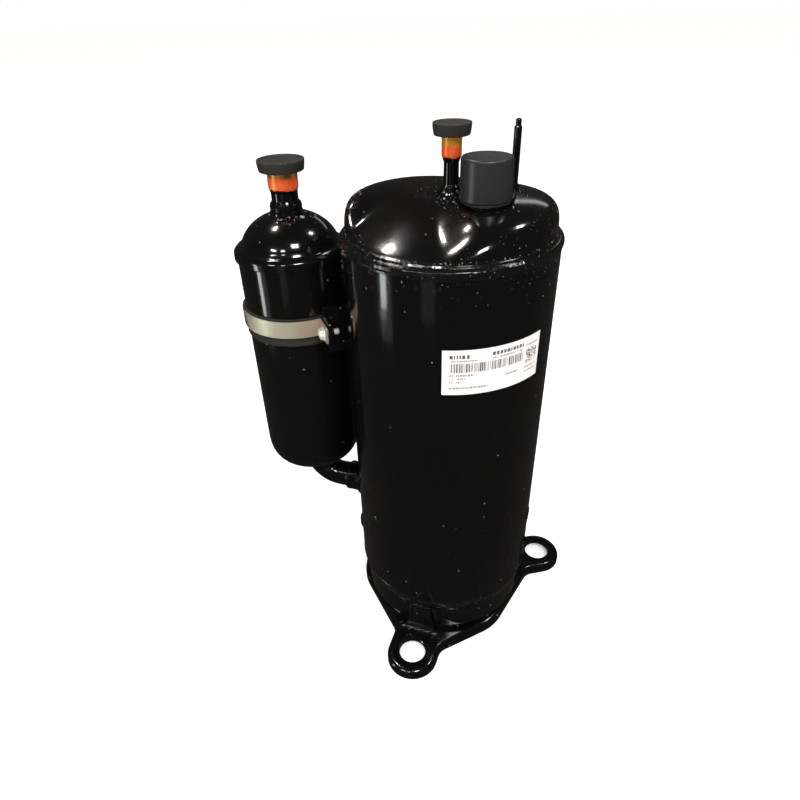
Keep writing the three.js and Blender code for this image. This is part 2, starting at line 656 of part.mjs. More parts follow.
function subBearing() {
  const high = CYLINDER_LOW - GAP;
  const flange = turned([
    [SHAFT_BORE, 60], [14, 60], [14, high - 8], [50, high - 8], [50, high], [SHAFT_BORE, high], [SHAFT_BORE, 60],
  ], 32);
  return cut(flange, ...pumpBoltHoles(3.2));
}
add('sub_bearing', subBearing(), CAST_IRON);

BOLT_ANGLES.forEach((angle, i) => {
  const headTop = CYLINDER_LOW - 2 * GAP - 8;
  const bolt = add(`pump_bolt_${i + 1}`, join(rod(5, headTop - 5, headTop, 6), rod(2.8, headTop - 1, 119, 12)),
    GROUND_STEEL);
  bolt.position.set(BOLT_CIRCLE * Math.cos(deg(angle)), BOLT_CIRCLE * Math.sin(deg(angle)), 0);
});

const pistonLow = CYLINDER_LOW + 0.15;
const pistonHigh = CYLINDER_HIGH - 0.15;
const eccentric = new THREE.Group();
eccentric.position.copy(ECCENTRIC_DIRECTION).multiplyScalar(ECCENTRICITY);
compressor.add(eccentric);
add('roller', ring(ROLLER_RADIUS, ROLLER_BORE, pistonLow, pistonHigh), GROUND_STEEL, eccentric);

const vane = box([BORE + 0.05, -2, pistonLow], [45.2, 2, pistonHigh]);
const springSeat = rodX(4.2, 43, 50, 16).translate(0, 0, SUCTION_HEIGHT);
add('vane', cut(vane, springSeat).rotateZ(vaneHeading), GROUND_STEEL);

class Helix extends THREE.Curve {
  constructor(radius, length, turns) {
    super();
    this.radius = radius;
    this.length = length;
    this.turns = turns;
  }

  getPoint(t, target = new THREE.Vector3()) {
    const angle = 2 * Math.PI * this.turns * t;
    return target.set(this.length * t, this.radius * Math.cos(angle), this.radius * Math.sin(angle));
  }
}
const springCoil = swept(new Helix(3, 18, 5), 0.6, 0, 50, 2).translate(43.9, 0, SUCTION_HEIGHT);
add('vane_spring', springCoil.rotateZ(vaneHeading), GROUND_STEEL);

// ---- Discharge valve and muffler ----
const valveSeat = CYLINDER_HIGH + GAP + 10;
function reedOutline() {
  const shape = new THREE.Shape();
  shape.absarc(RIVET.x, RIVET.y, 3.2, -Math.PI / 2, Math.PI / 2, false);
  shape.absarc(PORT.x, PORT.y, 4.2, Math.PI / 2, 1.5 * Math.PI, false);
  const hole = new THREE.Path();
  hole.absarc(RIVET.x, RIVET.y, 1.9, 0, 2 * Math.PI, false);
  shape.holes.push(hole);
  return shape;
}
add('discharge_reed', extruded(reedOutline(), valveSeat + GAP, valveSeat + GAP + 0.5), GROUND_STEEL);

function valveStop() {
  const low = valveSeat + 1.2;
  const profile = new THREE.Shape([
    new THREE.Vector2(RIVET.x + 3.5, low),
    new THREE.Vector2(RIVET.x + 3.5, low + 2),
    new THREE.Vector2(RIVET.x - 4, low + 2),
    new THREE.Vector2(PORT.x - 4, low + 5),
    new THREE.Vector2(PORT.x - 4, low + 3),
    new THREE.Vector2(RIVET.x - 4, low),
  ].reverse());
  const arm = extruded(profile, 0, 7).rotateX(Math.PI / 2).translate(0, PORT.y + 3.5, 0);
  return cut(arm, rod(1.9, 100, 130, 12).translate(RIVET.x, RIVET.y, 0));
}
add('valve_stop', valveStop(), GROUND_STEEL);
const rivetHead = valveSeat + 1.2 + 2 + GAP;
add('valve_rivet', join(rod(1.5, 113.5, rivetHead + 1, 12), rod(3, rivetHead, rivetHead + 1.6, 12)), GROUND_STEEL)
  .position.set(RIVET.x, RIVET.y, 0);

add('discharge_muffler', turned([
  [35.6, valveSeat + GAP], [36.8, valveSeat + GAP], [36.8, 134], [33, 137], [14.6, 137], [14.6, 135.8],
  [32.5, 135.8], [35.6, 133.4], [35.6, valveSeat + GAP],
], 28), LAMINATION);

// ---- Crankshaft and rotor ----
function crankshaft() {
  const cam = rod(ROLLER_BORE - GAP - 0.1, 85, 107).translate(eccentric.position.x, eccentric.position.y, 0);
  const shaft = join(rod(SHAFT_RADIUS, 56, 262), cam);
  return cut(shaft, rod(3, 50, 150, 12));
}
add('crankshaft', crankshaft(), GROUND_STEEL);

function oilPaddle() {
  const blade = new THREE.BoxGeometry(4.6, 0.8, 40, 1, 1, 8);
  const points = blade.attributes.position;
  const point = new THREE.Vector3();
  for (let i = 0; i < points.count; i += 1) {
    point.fromBufferAttribute(points, i);
    point.applyAxisAngle(new THREE.Vector3(0, 0, 1), (point.z / 40) * Math.PI);
    points.setXYZ(i, point.x, point.y, point.z);
  }
  return blade.translate(0, 0, 78);
}
add('oil_paddle', oilPaddle(), GROUND_STEEL);

add('rotor_core', ring(ROTOR_RADIUS, SHAFT_BORE, STATOR_LOW, STATOR_HIGH), LAMINATION);

// Half of a ring, on the +X side of the group's axis.
function halfRing(outer, inner, low, high) {
  return wallStrip(inner, outer, -Math.PI / 2, Math.PI / 2, low, high, 7);
}
const eccentricHeading = Math.atan2(ECCENTRIC_DIRECTION.y, ECCENTRIC_DIRECTION.x);
const rotorEnds = [
  ['upper', STATOR_HIGH + GAP, STATOR_HIGH + 5, STATOR_HIGH + 5 + GAP, STATOR_HIGH + 16, eccentricHeading],
  ['lower', STATOR_LOW - 5, STATOR_LOW - GAP, STATOR_LOW - 15, STATOR_LOW - 5 - GAP, eccentricHeading + Math.PI],
];
for (const [end, ringLow, ringHigh, weightLow, weightHigh, heading] of rotorEnds) {
  add(`rotor_ring_${end}`, ring(37.4, 24, ringLow, ringHigh, 36), ALUMINIUM);
  add(`balance_weight_${end}`, halfRing(35.5, 24, weightLow, weightHigh).rotateZ(heading), BRASS);
}

// ---- Stator ----
function statorCore() {
  const shape = circlePath(69.5, THREE.Shape);
  const bore = new THREE.Path();
  for (let slot = 0; slot < SLOTS; slot += 1) {
    const heading = (2 * Math.PI * slot) / SLOTS;
    const corners = [
      [STATOR_BORE, -1.2], [42, -1.2], [43.5, -3.2], [57, -4.6], [57, 4.6], [43.5, 3.2], [42, 1.2], [STATOR_BORE, 1.2],
    ];
    for (const [along, across] of corners) {
      const x = along * Math.cos(heading) - across * Math.sin(heading);
      const y = along * Math.sin(heading) + across * Math.cos(heading);
      if (bore.currentPoint.lengthSq() === 0) bore.moveTo(x, y);
      else bore.lineTo(x, y);
    }
  }
  bore.closePath();
  shape.holes.push(bore);
  return extruded(shape, STATOR_LOW, STATOR_HIGH, 18);
}
add('stator_core', statorCore(), LAMINATION);

function endWinding(low, high) {
  return turned([
    [44, low], [59, low], [62, low + 4], [62, high - 4], [59, high], [44, high], [44, low],
  ], 32);
}
add('winding_upper', endWinding(STATOR_HIGH + GAP, STATOR_HIGH + 20), WINDING);
add('winding_lower', endWinding(STATOR_LOW - 20, STATOR_LOW - GAP), WINDING);

pinPlaces.forEach(([x, y], i) => {
  const heading = deg(-90 + 40 * i);
  const lead = new THREE.CatmullRomCurve3([
    new THREE.Vector3(COVER_X + x, COVER_Y + y, CLUSTER_LOW - GAP),
    new THREE.Vector3(COVER_X + x, COVER_Y + y, CLUSTER_LOW - 12),
    new THREE.Vector3(52 * Math.cos(heading), 52 * Math.sin(heading), STATOR_HIGH + 40),
    new THREE.Vector3(52 * Math.cos(heading), 52 * Math.sin(heading), STATOR_HIGH + 20 + 2 * GAP),
  ]);
  add(`motor_lead_${i + 1}`, swept(lead, 1.3, 0, 12, 3), SLEEVE);
});

export default compressor;
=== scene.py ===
"""The looks of a rotary refrigeration compressor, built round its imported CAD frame.

Shapes are worked out in millimetres and turned into metres when a mesh is made.
Every piece's mesh is in the frame's own coordinates, so object coordinates in a material are places on
the part.
"""

import math
import random

import bmesh
import bpy
from mathutils import Matrix, Vector, noise


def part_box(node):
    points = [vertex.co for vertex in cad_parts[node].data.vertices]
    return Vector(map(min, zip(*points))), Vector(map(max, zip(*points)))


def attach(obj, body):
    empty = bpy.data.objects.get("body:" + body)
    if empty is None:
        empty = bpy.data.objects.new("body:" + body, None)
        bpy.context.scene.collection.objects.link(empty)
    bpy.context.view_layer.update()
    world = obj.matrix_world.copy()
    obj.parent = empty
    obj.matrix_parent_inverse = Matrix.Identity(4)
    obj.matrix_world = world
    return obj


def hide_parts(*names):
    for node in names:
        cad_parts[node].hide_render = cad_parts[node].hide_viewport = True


MM = 0.001
TAU = 2 * math.pi
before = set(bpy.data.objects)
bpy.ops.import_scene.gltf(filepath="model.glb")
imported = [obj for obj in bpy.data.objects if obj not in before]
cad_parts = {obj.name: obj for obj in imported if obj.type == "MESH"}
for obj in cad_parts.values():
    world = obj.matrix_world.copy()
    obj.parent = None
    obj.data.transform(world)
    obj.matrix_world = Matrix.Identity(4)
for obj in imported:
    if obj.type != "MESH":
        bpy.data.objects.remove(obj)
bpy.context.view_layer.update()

# ---- Camera ----
CAMERA_PLACE = Vector((98.6, -381.2, 455.7))
CAMERA_HEADING = math.radians(19.82)     # turned from +Y towards -X
CAMERA_DIP = math.radians(33.51)
CAMERA_ROLL = math.radians(-1.71)
CAMERA_LENS = 26.87


def aim(place, heading, dip, roll):
    """The camera's matrix: its heading turns from +Y towards -X, and its dip is below the horizon."""
    turn = Matrix.Rotation(heading, 4, "Z")
    tilt = Matrix.Rotation(math.pi / 2 - dip, 4, "X")
    return Matrix.Translation(place * MM) @ turn @ tilt @ Matrix.Rotation(roll, 4, "Z")


def make_camera():
    data = bpy.data.cameras.new("camera")
    data.lens = CAMERA_LENS
    data.clip_start = 0.01
    data.clip_end = 20
    camera = bpy.data.objects.new("camera", data)
    camera.matrix_world = aim(CAMERA_PLACE, CAMERA_HEADING, CAMERA_DIP, CAMERA_ROLL)
    bpy.context.scene.collection.objects.link(camera)
    bpy.context.scene.camera = camera


make_camera()


# ---- Places taken from the frame ----
def extent(node):
    low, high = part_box(node)
    return low / MM, high / MM


def middle(node):
    low, high = extent(node)
    return (low + high) / 2


BASE_LOW = extent("base_plate")[0].z
PLATE_TOP = 3.0
SHELL_LOW = extent("shell_tube")[0].z
SHELL_HIGH = extent("shell_tube")[1].z
BEAD_PROUD = 1.0
SHELL_RADIUS = extent("shell_tube")[1].x - BEAD_PROUD
CAP_RADIUS = extent("top_cap")[1].x
CAP_TOP = extent("top_cap")[1].z
CAN_AXIS = middle("accumulator_can")
CAN_RADIUS = 39.8
COVER_AXIS = middle("terminal_cover")
PROCESS_AXIS = middle("process_tube")
SUCTION_HEIGHT = middle("suction_collar").z
BAND_LOW = extent("clamp_band")[0].z
BAND_HIGH = extent("clamp_band")[1].z

# Segments round a large turned piece, a middling one, a small one and a run of weld, and steps round the shell
# for its own welds.
ROUND = 160
MIDDLE_ROUND = 96
SMALL_ROUND = 64
BEAD_ROUND = 10
WELD_STEPS = 900
ARC_STEP = 0.45


# ---- Mesh building ----
def polar(radius, angle, height):
    return Vector((radius * math.cos(angle), radius * math.sin(angle), height))


def rounded(corners, steps=5, closed=False):
    """A profile's corners, given as (radius, height, fillet), with each fillet drawn as an arc."""
    points = []
    count = len(corners)
    for i, (r, z, fillet) in enumerate(corners):
        here = Vector((r, z))
        at_end = not closed and i in (0, count - 1)
        if fillet <= 0 or at_end:
            points.append((r, z))
            continue
        before = Vector(corners[i - 1][:2]) - here
        after = Vector(corners[(i + 1) % count][:2]) - here
        angle = before.angle(after)
        cut = min(fillet / math.tan(angle / 2), 0.49 * before.length, 0.49 * after.length)
        start = here + before.normalized() * cut
        end = here + after.normalized() * cut
        for step in range(steps + 1):
            t = step / steps
            point = start * (1 - t) ** 2 + here * 2 * t * (1 - t) + end * t ** 2
            points.append((point.x, point.y))
    return points


def superellipse(radius, start, end, power, count, stop):
    """Profile points from (radius, start) to (stop, end), bulging outwards."""
    last = math.asin((stop / radius) ** (power / 2))
    points = []
    for i in range(count + 1):
        angle = math.pi / 2 + (last - math.pi / 2) * i / count
        across = math.sin(angle) ** (2 / power)
        along = max(math.cos(angle), 0.0) ** (2 / power)
        points.append((radius * across, start + (end - start) * along))
    return points


def rings_to_faces(rings, around_closed, along_closed):
    """Quads between neighbouring rings of equal length, as index tuples."""
    count = len(rings[0])
    faces = []
    for row in range(len(rings) if along_closed else len(rings) - 1):
        following = (row + 1) % len(rings)
        for i in range(count if around_closed else count - 1):
            j = (i + 1) % count
            faces.append((row * count + i, row * count + j, following * count + j, following * count + i))
    return faces


def loft(rings, around_closed=True, along_closed=False, ends=False):
    """(vertices, faces) of a skin over rings of points."""
    vertices = [tuple(p) for ring in rings for p in ring]
    faces = rings_to_faces(rings, around_closed, along_closed)
    if ends:
        count = len(rings[0])
        faces.append(tuple(reversed(range(count))))
        faces.append(tuple(range(len(vertices) - count, len(vertices))))
    return vertices, faces


def turned(profile, segments=ROUND, centre=(0, 0), closed=False):
    """(vertices, faces) of a profile of (radius, height) points turned about +Z."""
    rings = []
    for radius, height in profile:
        ring = [polar(radius, TAU * i / segments, height) for i in range(segments)]
        rings.append([(p.x + centre[0], p.y + centre[1], p.z) for p in ring])
    return loft(rings, along_closed=closed)


def swept(path, section):
    """(vertices, faces) of a section carried along a path; the section is a function of the path's share."""
    rings = []
    side = None
    for i, point in enumerate(path):
        ahead = path[min(i + 1, len(path) - 1)] - path[max(i - 1, 0)]
        ahead.normalize()
        if side is None:
            side = ahead.cross(Vector((0, 0, 1)))
            if side.length < 1e-3:
                side = ahead.cross(Vector((0, 1, 0)))
        side = (side - ahead * side.dot(ahead)).normalized()
        up = side.cross(ahead)
        rings.append([point + side * a + up * b for a, b in section(i / (len(path) - 1))])
    return loft(rings, ends=True)


def circle(radius, count):
    return [(radius * math.cos(TAU * i / count), radius * math.sin(TAU * i / count)) for i in range(count)]


def moved(part, matrix):
    vertices, faces = part
    return [tuple(matrix @ Vector(v)) for v in vertices], faces


def together(*parts):
    """Several (vertices, faces) as one."""
    vertices, faces = [], []
    for more_vertices, more_faces in parts:
        offset = len(vertices)
        vertices += more_vertices
        faces += [tuple(i + offset for i in face) for face in more_faces]
    return vertices, faces


def piece(name, part, look, body="shell", replaces=(), crease=40, bevel=0.0):
    """One visible piece: its mesh from (vertices, faces), its material, and the CAD body it rides on."""
    vertices, faces = part
    mesh = bpy.data.meshes.new(name)
    mesh.from_pydata([(x * MM, y * MM, z * MM) for x, y, z in vertices], [], faces)
    tidy = bmesh.new()
    tidy.from_mesh(mesh)
    bmesh.ops.remove_doubles(tidy, verts=tidy.verts, dist=1e-6)
    bmesh.ops.dissolve_degenerate(tidy, edges=tidy.edges, dist=1e-7)
    bmesh.ops.recalc_face_normals(tidy, faces=tidy.faces)
    tidy.to_mesh(mesh)
    tidy.free()
    mesh.shade_smooth()
    mesh.set_sharp_from_angle(angle=math.radians(crease))
    obj = bpy.data.objects.new(name, mesh)
    bpy.context.scene.collection.objects.link(obj)
    mesh.materials.append(look)
    if bevel:
        edges = obj.modifiers.new("rounding", "BEVEL")
        edges.width = bevel * MM
        edges.segments = 3
        edges.limit_method = "ANGLE"
        edges.angle_limit = math.radians(crease)
        edges.harden_normals = False
    weighted = obj.modifiers.new("shading", "WEIGHTED_NORMAL")
    weighted.keep_sharp = True
    weighted.weight = 90
    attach(obj, body)
    if replaces:
        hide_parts(*replaces)
    return obj


def bead(path, radius, seed, pitch=1.3):
    """A rough round run of weld along a path of points, with the ripples of its puddle."""
    step = (path[1] - path[0]).length

    def section(share):
        along = share * (len(path) - 1) * step
        ripple = 0.06 * math.sin(TAU * along / pitch)
        points = []
        for a, b in circle(radius, BEAD_ROUND):
            lump = noise.noise(Vector((along * 0.5 + seed, a * 0.8, b * 0.8)))
            fine = noise.noise(Vector((along * 1.7, a * 2 + seed, b * 2)))
            size = 1 + ripple + 0.22 * lump + 0.12 * fine
            points.append((a * size, b * size))
        return points

    return swept(path, section)


def arc(radius, start, end, height):
    """Points along a level arc about the shell's axis, about ARC_STEP apart."""
    count = max(int(abs(end - start) * radius / ARC_STEP), 2)
    return [polar(radius, start + (end - start) * i / count, height) for i in range(count + 1)]


def dots(spots):
    """Small squat domes, one for each (place, normal, radius): weld spatter and dust under paint."""
    parts = []
    for place, normal, radius in spots:
        turn = normal.to_track_quat("Z", "Y").to_matrix()
        vertices = [tuple(place + turn @ Vector((0, 0, 0.75 * radius)))]
        for share, height in ((0.7, 0.5), (1.0, -0.15)):
            for i in range(6):
                spoke = polar(radius * share, TAU * i / 6, radius * height)
                vertices.append(tuple(place + turn @ spoke))
        faces = [(0, 1 + i, 1 + (i + 1) % 6) for i in range(6)]
        faces += [(1 + i, 7 + i, 7 + (i + 1) % 6, 1 + (i + 1) % 6) for i in range(6)]
        parts.append((vertices, faces))
    return together(*parts)


# ---- Materials ----
class Look:
    """A node material being put together round its main shader."""

    def __init__(self, name, **constants):
        self.material = bpy.data.materials.new(name)
        self.material.use_nodes = True
        self.tree = self.material.node_tree
        self.shader = self.tree.nodes["Principled BSDF"]
        self.place = self.tree.nodes.new("ShaderNodeTexCoord").outputs["Object"]
        for socket, value in constants.items():
            self.shader.inputs[socket.replace("_", " ")].default_value = value

    def node(self, kind, inputs=(), **settings):
        made = self.tree.nodes.new(kind)
        for key, value in settings.items():
            setattr(made, key, value)
        for key, value in dict(inputs).items():
            if isinstance(value, bpy.types.NodeSocket):
                self.tree.links.new(value, made.inputs[key])
            else:
                made.inputs[key].default_value = value
        return made

    def stretched(self, scale):
        return self.node("ShaderNodeMapping", {"Vector": self.place, "Scale": scale}).outputs["Vector"]

    def noise(self, scale, detail=3.0, roughness=0.5, stretch=None):
        where = self.stretched(stretch) if stretch else self.place
        inputs = {"Vector": where, "Scale": scale, "Detail": detail, "Roughness": roughness}
        return self.node("ShaderNodeTexNoise", inputs).outputs["Fac"]

    def math(self, operation, a, b=0.0, c=0.0):
        return self.node("ShaderNodeMath", {0: a, 1: b, 2: c}, operation=operation).outputs[0]

    def between(self, value, low, high, to_low=0.0, to_high=1.0):
        inputs = {"Value": value, "From Min": low, "From Max": high, "To Min": to_low, "To Max": to_high}
        return self.node("ShaderNodeMapRange", inputs).outputs["Result"]

    def mix(self, share, a, b):
        made = self.node("ShaderNodeMix", {0: share, 6: a, 7: b}, data_type="RGBA")
        return made.outputs[2]

    def height(self):
        return self.node("ShaderNodeSeparateXYZ", {0: self.place}).outputs["Z"]

    def specks(self, scale, size, share):
        """A mask of small round dots: one to a cell in a given share of cells."""
        cells = self.node("ShaderNodeTexVoronoi", {"Vector": self.place, "Scale": scale})
        draw = self.node("ShaderNodeSeparateXYZ", {0: cells.outputs["Color"]}).outputs[0]
        chosen = self.math("LESS_THAN", draw, share)
        return self.math("MULTIPLY", self.math("LESS_THAN", cells.outputs["Distance"], size), chosen)

    def drive(self, socket, value):
        self.tree.links.new(value, self.shader.inputs[socket])

    def bump(self, *layers):
        """Layers of (height, strength, distance in mm), one over the other."""
        normal = None
        for value, strength, distance in layers:
            inputs = {"Height": value, "Strength": strength, "Distance": distance * MM}
            if normal:
                inputs["Normal"] = normal
            normal = self.node("ShaderNodeBump", inputs).outputs["Normal"]
        self.drive("Normal", normal)


def grey(value):
    return (value, value, value, 1)


def black_paint(name, peel=0.05, dust=0.02, rough=0.09):
    """Glossy black enamel: orange peel, faint sagging, and a little pale dust caught in it."""
    look = Look(name, Specular_IOR_Level=0.5, Coat_Weight=0.35, Coat_Roughness=0.03)
    specks = look.specks(330, 0.13, dust)
    cloud = look.noise(14, 4)
    base = look.mix(cloud, (0.0012, 0.0012, 0.0014, 1), (0.0030, 0.0028, 0.0027, 1))
    look.drive("Base Color", look.mix(specks, base, (0.32, 0.31, 0.29, 1)))
    haze = look.between(look.noise(60, 5, 0.6), 0.3, 0.75, rough, rough + 0.07)
    look.drive("Roughness", look.math("MAXIMUM", haze, look.math("MULTIPLY", specks, 0.7)))
    look.bump((look.noise(9, 2), 0.12, 1.5), (look.noise(420, 2), peel, 0.35))
    return look.material


def weld_paint(name):
    """Enamel over weld metal: finer and rougher relief, and more dust in the hollows."""
    look = Look(name, Coat_Weight=0.3, Coat_Roughness=0.06)
    specks = look.specks(900, 0.22, 0.10)
    look.drive("Base Color", look.mix(specks, (0.003, 0.003, 0.003, 1), (0.22, 0.20, 0.17, 1)))
    look.drive("Roughness", look.between(look.noise(700, 4), 0.35, 0.7, 0.07, 0.24))
    look.bump((look.noise(900, 4, 0.65), 0.20, 0.25))
    return look.material


def spatter_look(name):
    """Beads of weld metal and dust: some under black paint, some pale, partly dust and partly painted glints.
    """
    look = Look(name, Coat_Weight=0.3, Coat_Roughness=0.1)
    # Pale beads where a noise picks them: partly dust, partly painted glints.
    bare = look.between(look.noise(260, 2), 0.50, 0.60)
    look.drive("Base Color", look.mix(bare, (0.006, 0.0055, 0.005, 1), (0.34, 0.30, 0.27, 1)))
    look.drive("Roughness", look.between(look.noise(700, 3), 0.3, 0.7, 0.15, 0.4))
    return look.material


def part_painted_copper(name, edge, tint_and_shade_above):
    """Copper tube: painted black below a wavering edge at one height in mm; above another, heat tint and
    painted shade from the plug.
    """
    look = Look(name, Specular_IOR_Level=0.6)
    height = look.height()
    waver = look.between(look.noise(190, 3), 0.3, 0.7, -0.9 * MM, 0.9 * MM)
    wavering = look.math("ADD", height, waver)
    bare = look.between(wavering, (edge - 0.1) * MM, (edge + 0.1) * MM)
    patina = look.between(look.noise(150, 5, 0.6), 0.35, 0.68)
    copper = look.mix(patina, (0.80, 0.085, 0.018, 1), (0.97, 0.17, 0.045, 1))
    # Above the second height the copper turns to streaky gold and dark brown: partly heat tint, partly painted
    # shade from the plug above.
    streaks = look.between(look.noise(110, 3, 0.5, (1, 1, 0.1)), 0.42, 0.60)
    tint = look.mix(streaks, (0.72, 0.33, 0.03, 1), (0.13, 0.075, 0.012, 1))
    copper = look.mix(look.between(wavering, (tint_and_shade_above - 1.2) * MM, (tint_and_shade_above + 1.2) * MM), copper, tint)
    look.drive("Base Color", look.mix(bare, grey(0.002), copper))
    look.drive("Metallic", look.math("MULTIPLY", bare, 0.45))
    worn = look.between(look.noise(500, 4), 0.3, 0.7, 0.14, 0.32)
    look.drive("Roughness", look.math("MULTIPLY_ADD", worn, bare, 0.08))
    look.bump((look.noise(30, 2, 0.5, (1, 1, 14)), 0.10, 0.2), (look.noise(600, 3), 0.12, 0.15))
    return look.material


def rubber(name, top):
    """Black moulded rubber, dusty on the face that points up above a height in mm."""
    look = Look(name, Specular_IOR_Level=0.35)
    grain = look.noise(1500, 3, 0.7)
    upper = look.between(look.height(), (top - 1.4) * MM, (top - 0.6) * MM)
    dust = look.math("MULTIPLY", look.between(grain, 0.5, 0.72), look.between(upper, 0, 1, 0.12, 1))
    base = look.mix(look.noise(160, 4), (0.010, 0.0095, 0.009, 1), (0.020, 0.0185, 0.017, 1))
    look.drive("Base Color", look.mix(dust, base, (0.11, 0.095, 0.08, 1)))
    look.drive("Roughness", look.between(grain, 0.3, 0.7, 0.52, 0.82))
    look.bump((look.noise(900, 4, 0.7), 0.5, 0.25))
    return look.material


def satin_plastic(name, low=(0.013, 0.013, 0.0135, 1), high=(0.019, 0.019, 0.0195, 1), rough=0.30):
    """Moulded plastic with a fine matt grain."""
    look = Look(name, Specular_IOR_Level=0.55)
    look.drive("Base Color", look.mix(look.noise(55, 4), low, high))
    look.drive("Roughness", look.between(look.noise(900, 3), 0.3, 0.7, rough, rough + 0.12))
    look.bump((look.noise(1700, 3, 0.6), 0.22, 0.12), (look.noise(25, 2), 0.06, 1.0))
    return look.material


def metal(name, low, high, rough, grain=700, stretch=None, relief=0.12, patches=45, metallic=0.75):
    """Bare metal: two tones in patches, a grain that may run one way, and uneven polish."""
    look = Look(name, Metallic=metallic)
    tone = look.between(look.noise(patches, 5, 0.6), 0.32, 0.68)
    look.drive("Base Color", look.mix(tone, low, high))
    scratch = look.noise(grain, 4, 0.6, stretch)
    look.drive("Roughness", look.between(scratch, 0.25, 0.75, rough, rough + 0.2))
    look.bump((scratch, relief, 0.15))
    return look.material


def strap(name):
    """The clamp band's plated steel, with painted light: dark green grey painted shade at its left, a painted
    highlight, then tan.
    """
    look = Look(name, Metallic=0.55)
    across = look.node("ShaderNodeSeparateXYZ", {0: look.place}).outputs["X"]
    waver = look.between(look.noise(70, 4, 0.6), 0.3, 0.7, -7 * MM, 7 * MM)
    along = look.math("ADD", across, waver)
    # Painted light: the colour changes with x across the band as seen, dark painted shade at the left edge,
    # then a pale buff painted highlight, then tan.
    left = CAN_AXIS.x - 36
    lit = look.between(along, left * MM, (left + 22) * MM)
    cream = look.mix(lit, (0.050, 0.055, 0.045, 1), (0.52, 0.50, 0.38, 1))
    tanned = look.between(along, (left + 34) * MM, (left + 60) * MM)
    shade = look.mix(tanned, cream, (0.46, 0.36, 0.27, 1))
    look.drive("Base Color", shade)
    scratch = look.noise(500, 4, 0.6, (1, 1, 9))
    look.drive("Roughness", look.between(scratch, 0.25, 0.75, 0.28, 0.50))
    look.bump((scratch, 0.10, 0.15))
    return look.material


def layered(name, low, high, rough, pitch):
    """Metal stacked in thin level sheets of a pitch in mm, seen on edge."""
    look = Look(name, Metallic=1.0)
    wave = look.math("SINE", look.math("MULTIPLY", look.height(), TAU / (pitch * MM)))
    line = look.between(wave, -1, -0.4)
    tone = look.mix(look.noise(60, 4), low, high)
    look.drive("Base Color", look.mix(line, grey(0.02), tone))
    look.drive("Roughness", look.between(look.noise(300, 3), 0.3, 0.7, rough, rough + 0.2))
    look.bump((line, 0.4, 0.2))
    return look.material


def wound(name, low, high):
    """Enamelled wire laid round in a bundle and tied."""
    look = Look(name, Metallic=0.7, Coat_Weight=0.6, Coat_Roughness=0.2)
    strands = look.noise(150, 3, 0.6, (1, 1, 9))
    look.drive("Base Color", look.mix(strands, low, high))
    look.drive("Roughness", look.between(strands, 0.3, 0.7, 0.3, 0.5))
    look.bump((strands, 0.7, 0.8))
    return look.material


def paper(name):
    """Coated white label stock: faint mottling, a slight sheen."""
    look = Look(name, Specular_IOR_Level=0.45)
    look.drive("Base Color", look.mix(look.noise(40, 4), (0.66, 0.62, 0.60, 1), (0.74, 0.70, 0.68, 1)))
    look.drive("Roughness", look.between(look.noise(700, 3), 0.3, 0.7, 0.38, 0.52))
    look.bump((look.noise(120, 3), 0.05, 0.2))
    return look.material


def ink(name, shade):
    """Thermal print: black that breaks up into grey."""
    look = Look(name)
    broken = look.between(look.noise(1300, 3, 0.7), 0.42, 0.62)
    look.drive("Base Color", look.mix(broken, grey(shade), grey(shade + 0.14)))
    look.drive("Roughness", look.between(look.noise(700, 3), 0.3, 0.7, 0.4, 0.55))
    return look.material


PAINT = black_paint("black_paint")
SHEET_PAINT = black_paint("black_paint_sheet", peel=0.09, dust=0.05, rough=0.12)
WELD = weld_paint("black_paint_weld")
SPATTER = spatter_look("weld_spatter")
COVER_PLASTIC = satin_plastic("cover_plastic")
CLOTH_SLEEVE = satin_plastic("insulation", (0.50, 0.48, 0.42, 1), (0.62, 0.60, 0.53, 1), 0.6)
PAD_RUBBER = rubber("pad_rubber", 1000)      # a height above the whole part, so no face is dusty
STRAP = strap("strap_steel")
ZINC = metal("zinc_plate", (0.66, 0.63, 0.56, 1), (0.84, 0.82, 0.76, 1), 0.22, 900, None, 0.25, 220, 0.5)
GROUND = metal("ground_steel", (0.42, 0.42, 0.43, 1), (0.55, 0.55, 0.56, 1), 0.18, 600, (1, 1, 12), 0.10)
IRON = metal("cast_iron", (0.11, 0.11, 0.115, 1), (0.19, 0.19, 0.195, 1), 0.5, 500, None, 0.6)
ALUMINIUM = metal("aluminium", (0.60, 0.61, 0.62, 1), (0.74, 0.75, 0.76, 1), 0.32, 400, None, 0.25)
BRASS = metal("brass", (0.62, 0.42, 0.16, 1), (0.74, 0.54, 0.24, 1), 0.28, 500, None, 0.15)
LAMINATION = layered("lamination_steel", grey(0.16), grey(0.28), 0.4, 1.0)
MUFFLER = metal("pressed_steel", grey(0.20), grey(0.33), 0.36, 500, None, 0.15)
WINDING = wound("winding_copper", (0.30, 0.09, 0.03, 1), (0.62, 0.23, 0.09, 1))
LABEL = paper("label_paper")
PRINT = ink("label_print", 0.03)
FAINT_PRINT = ink("label_print_faint", 0.16)

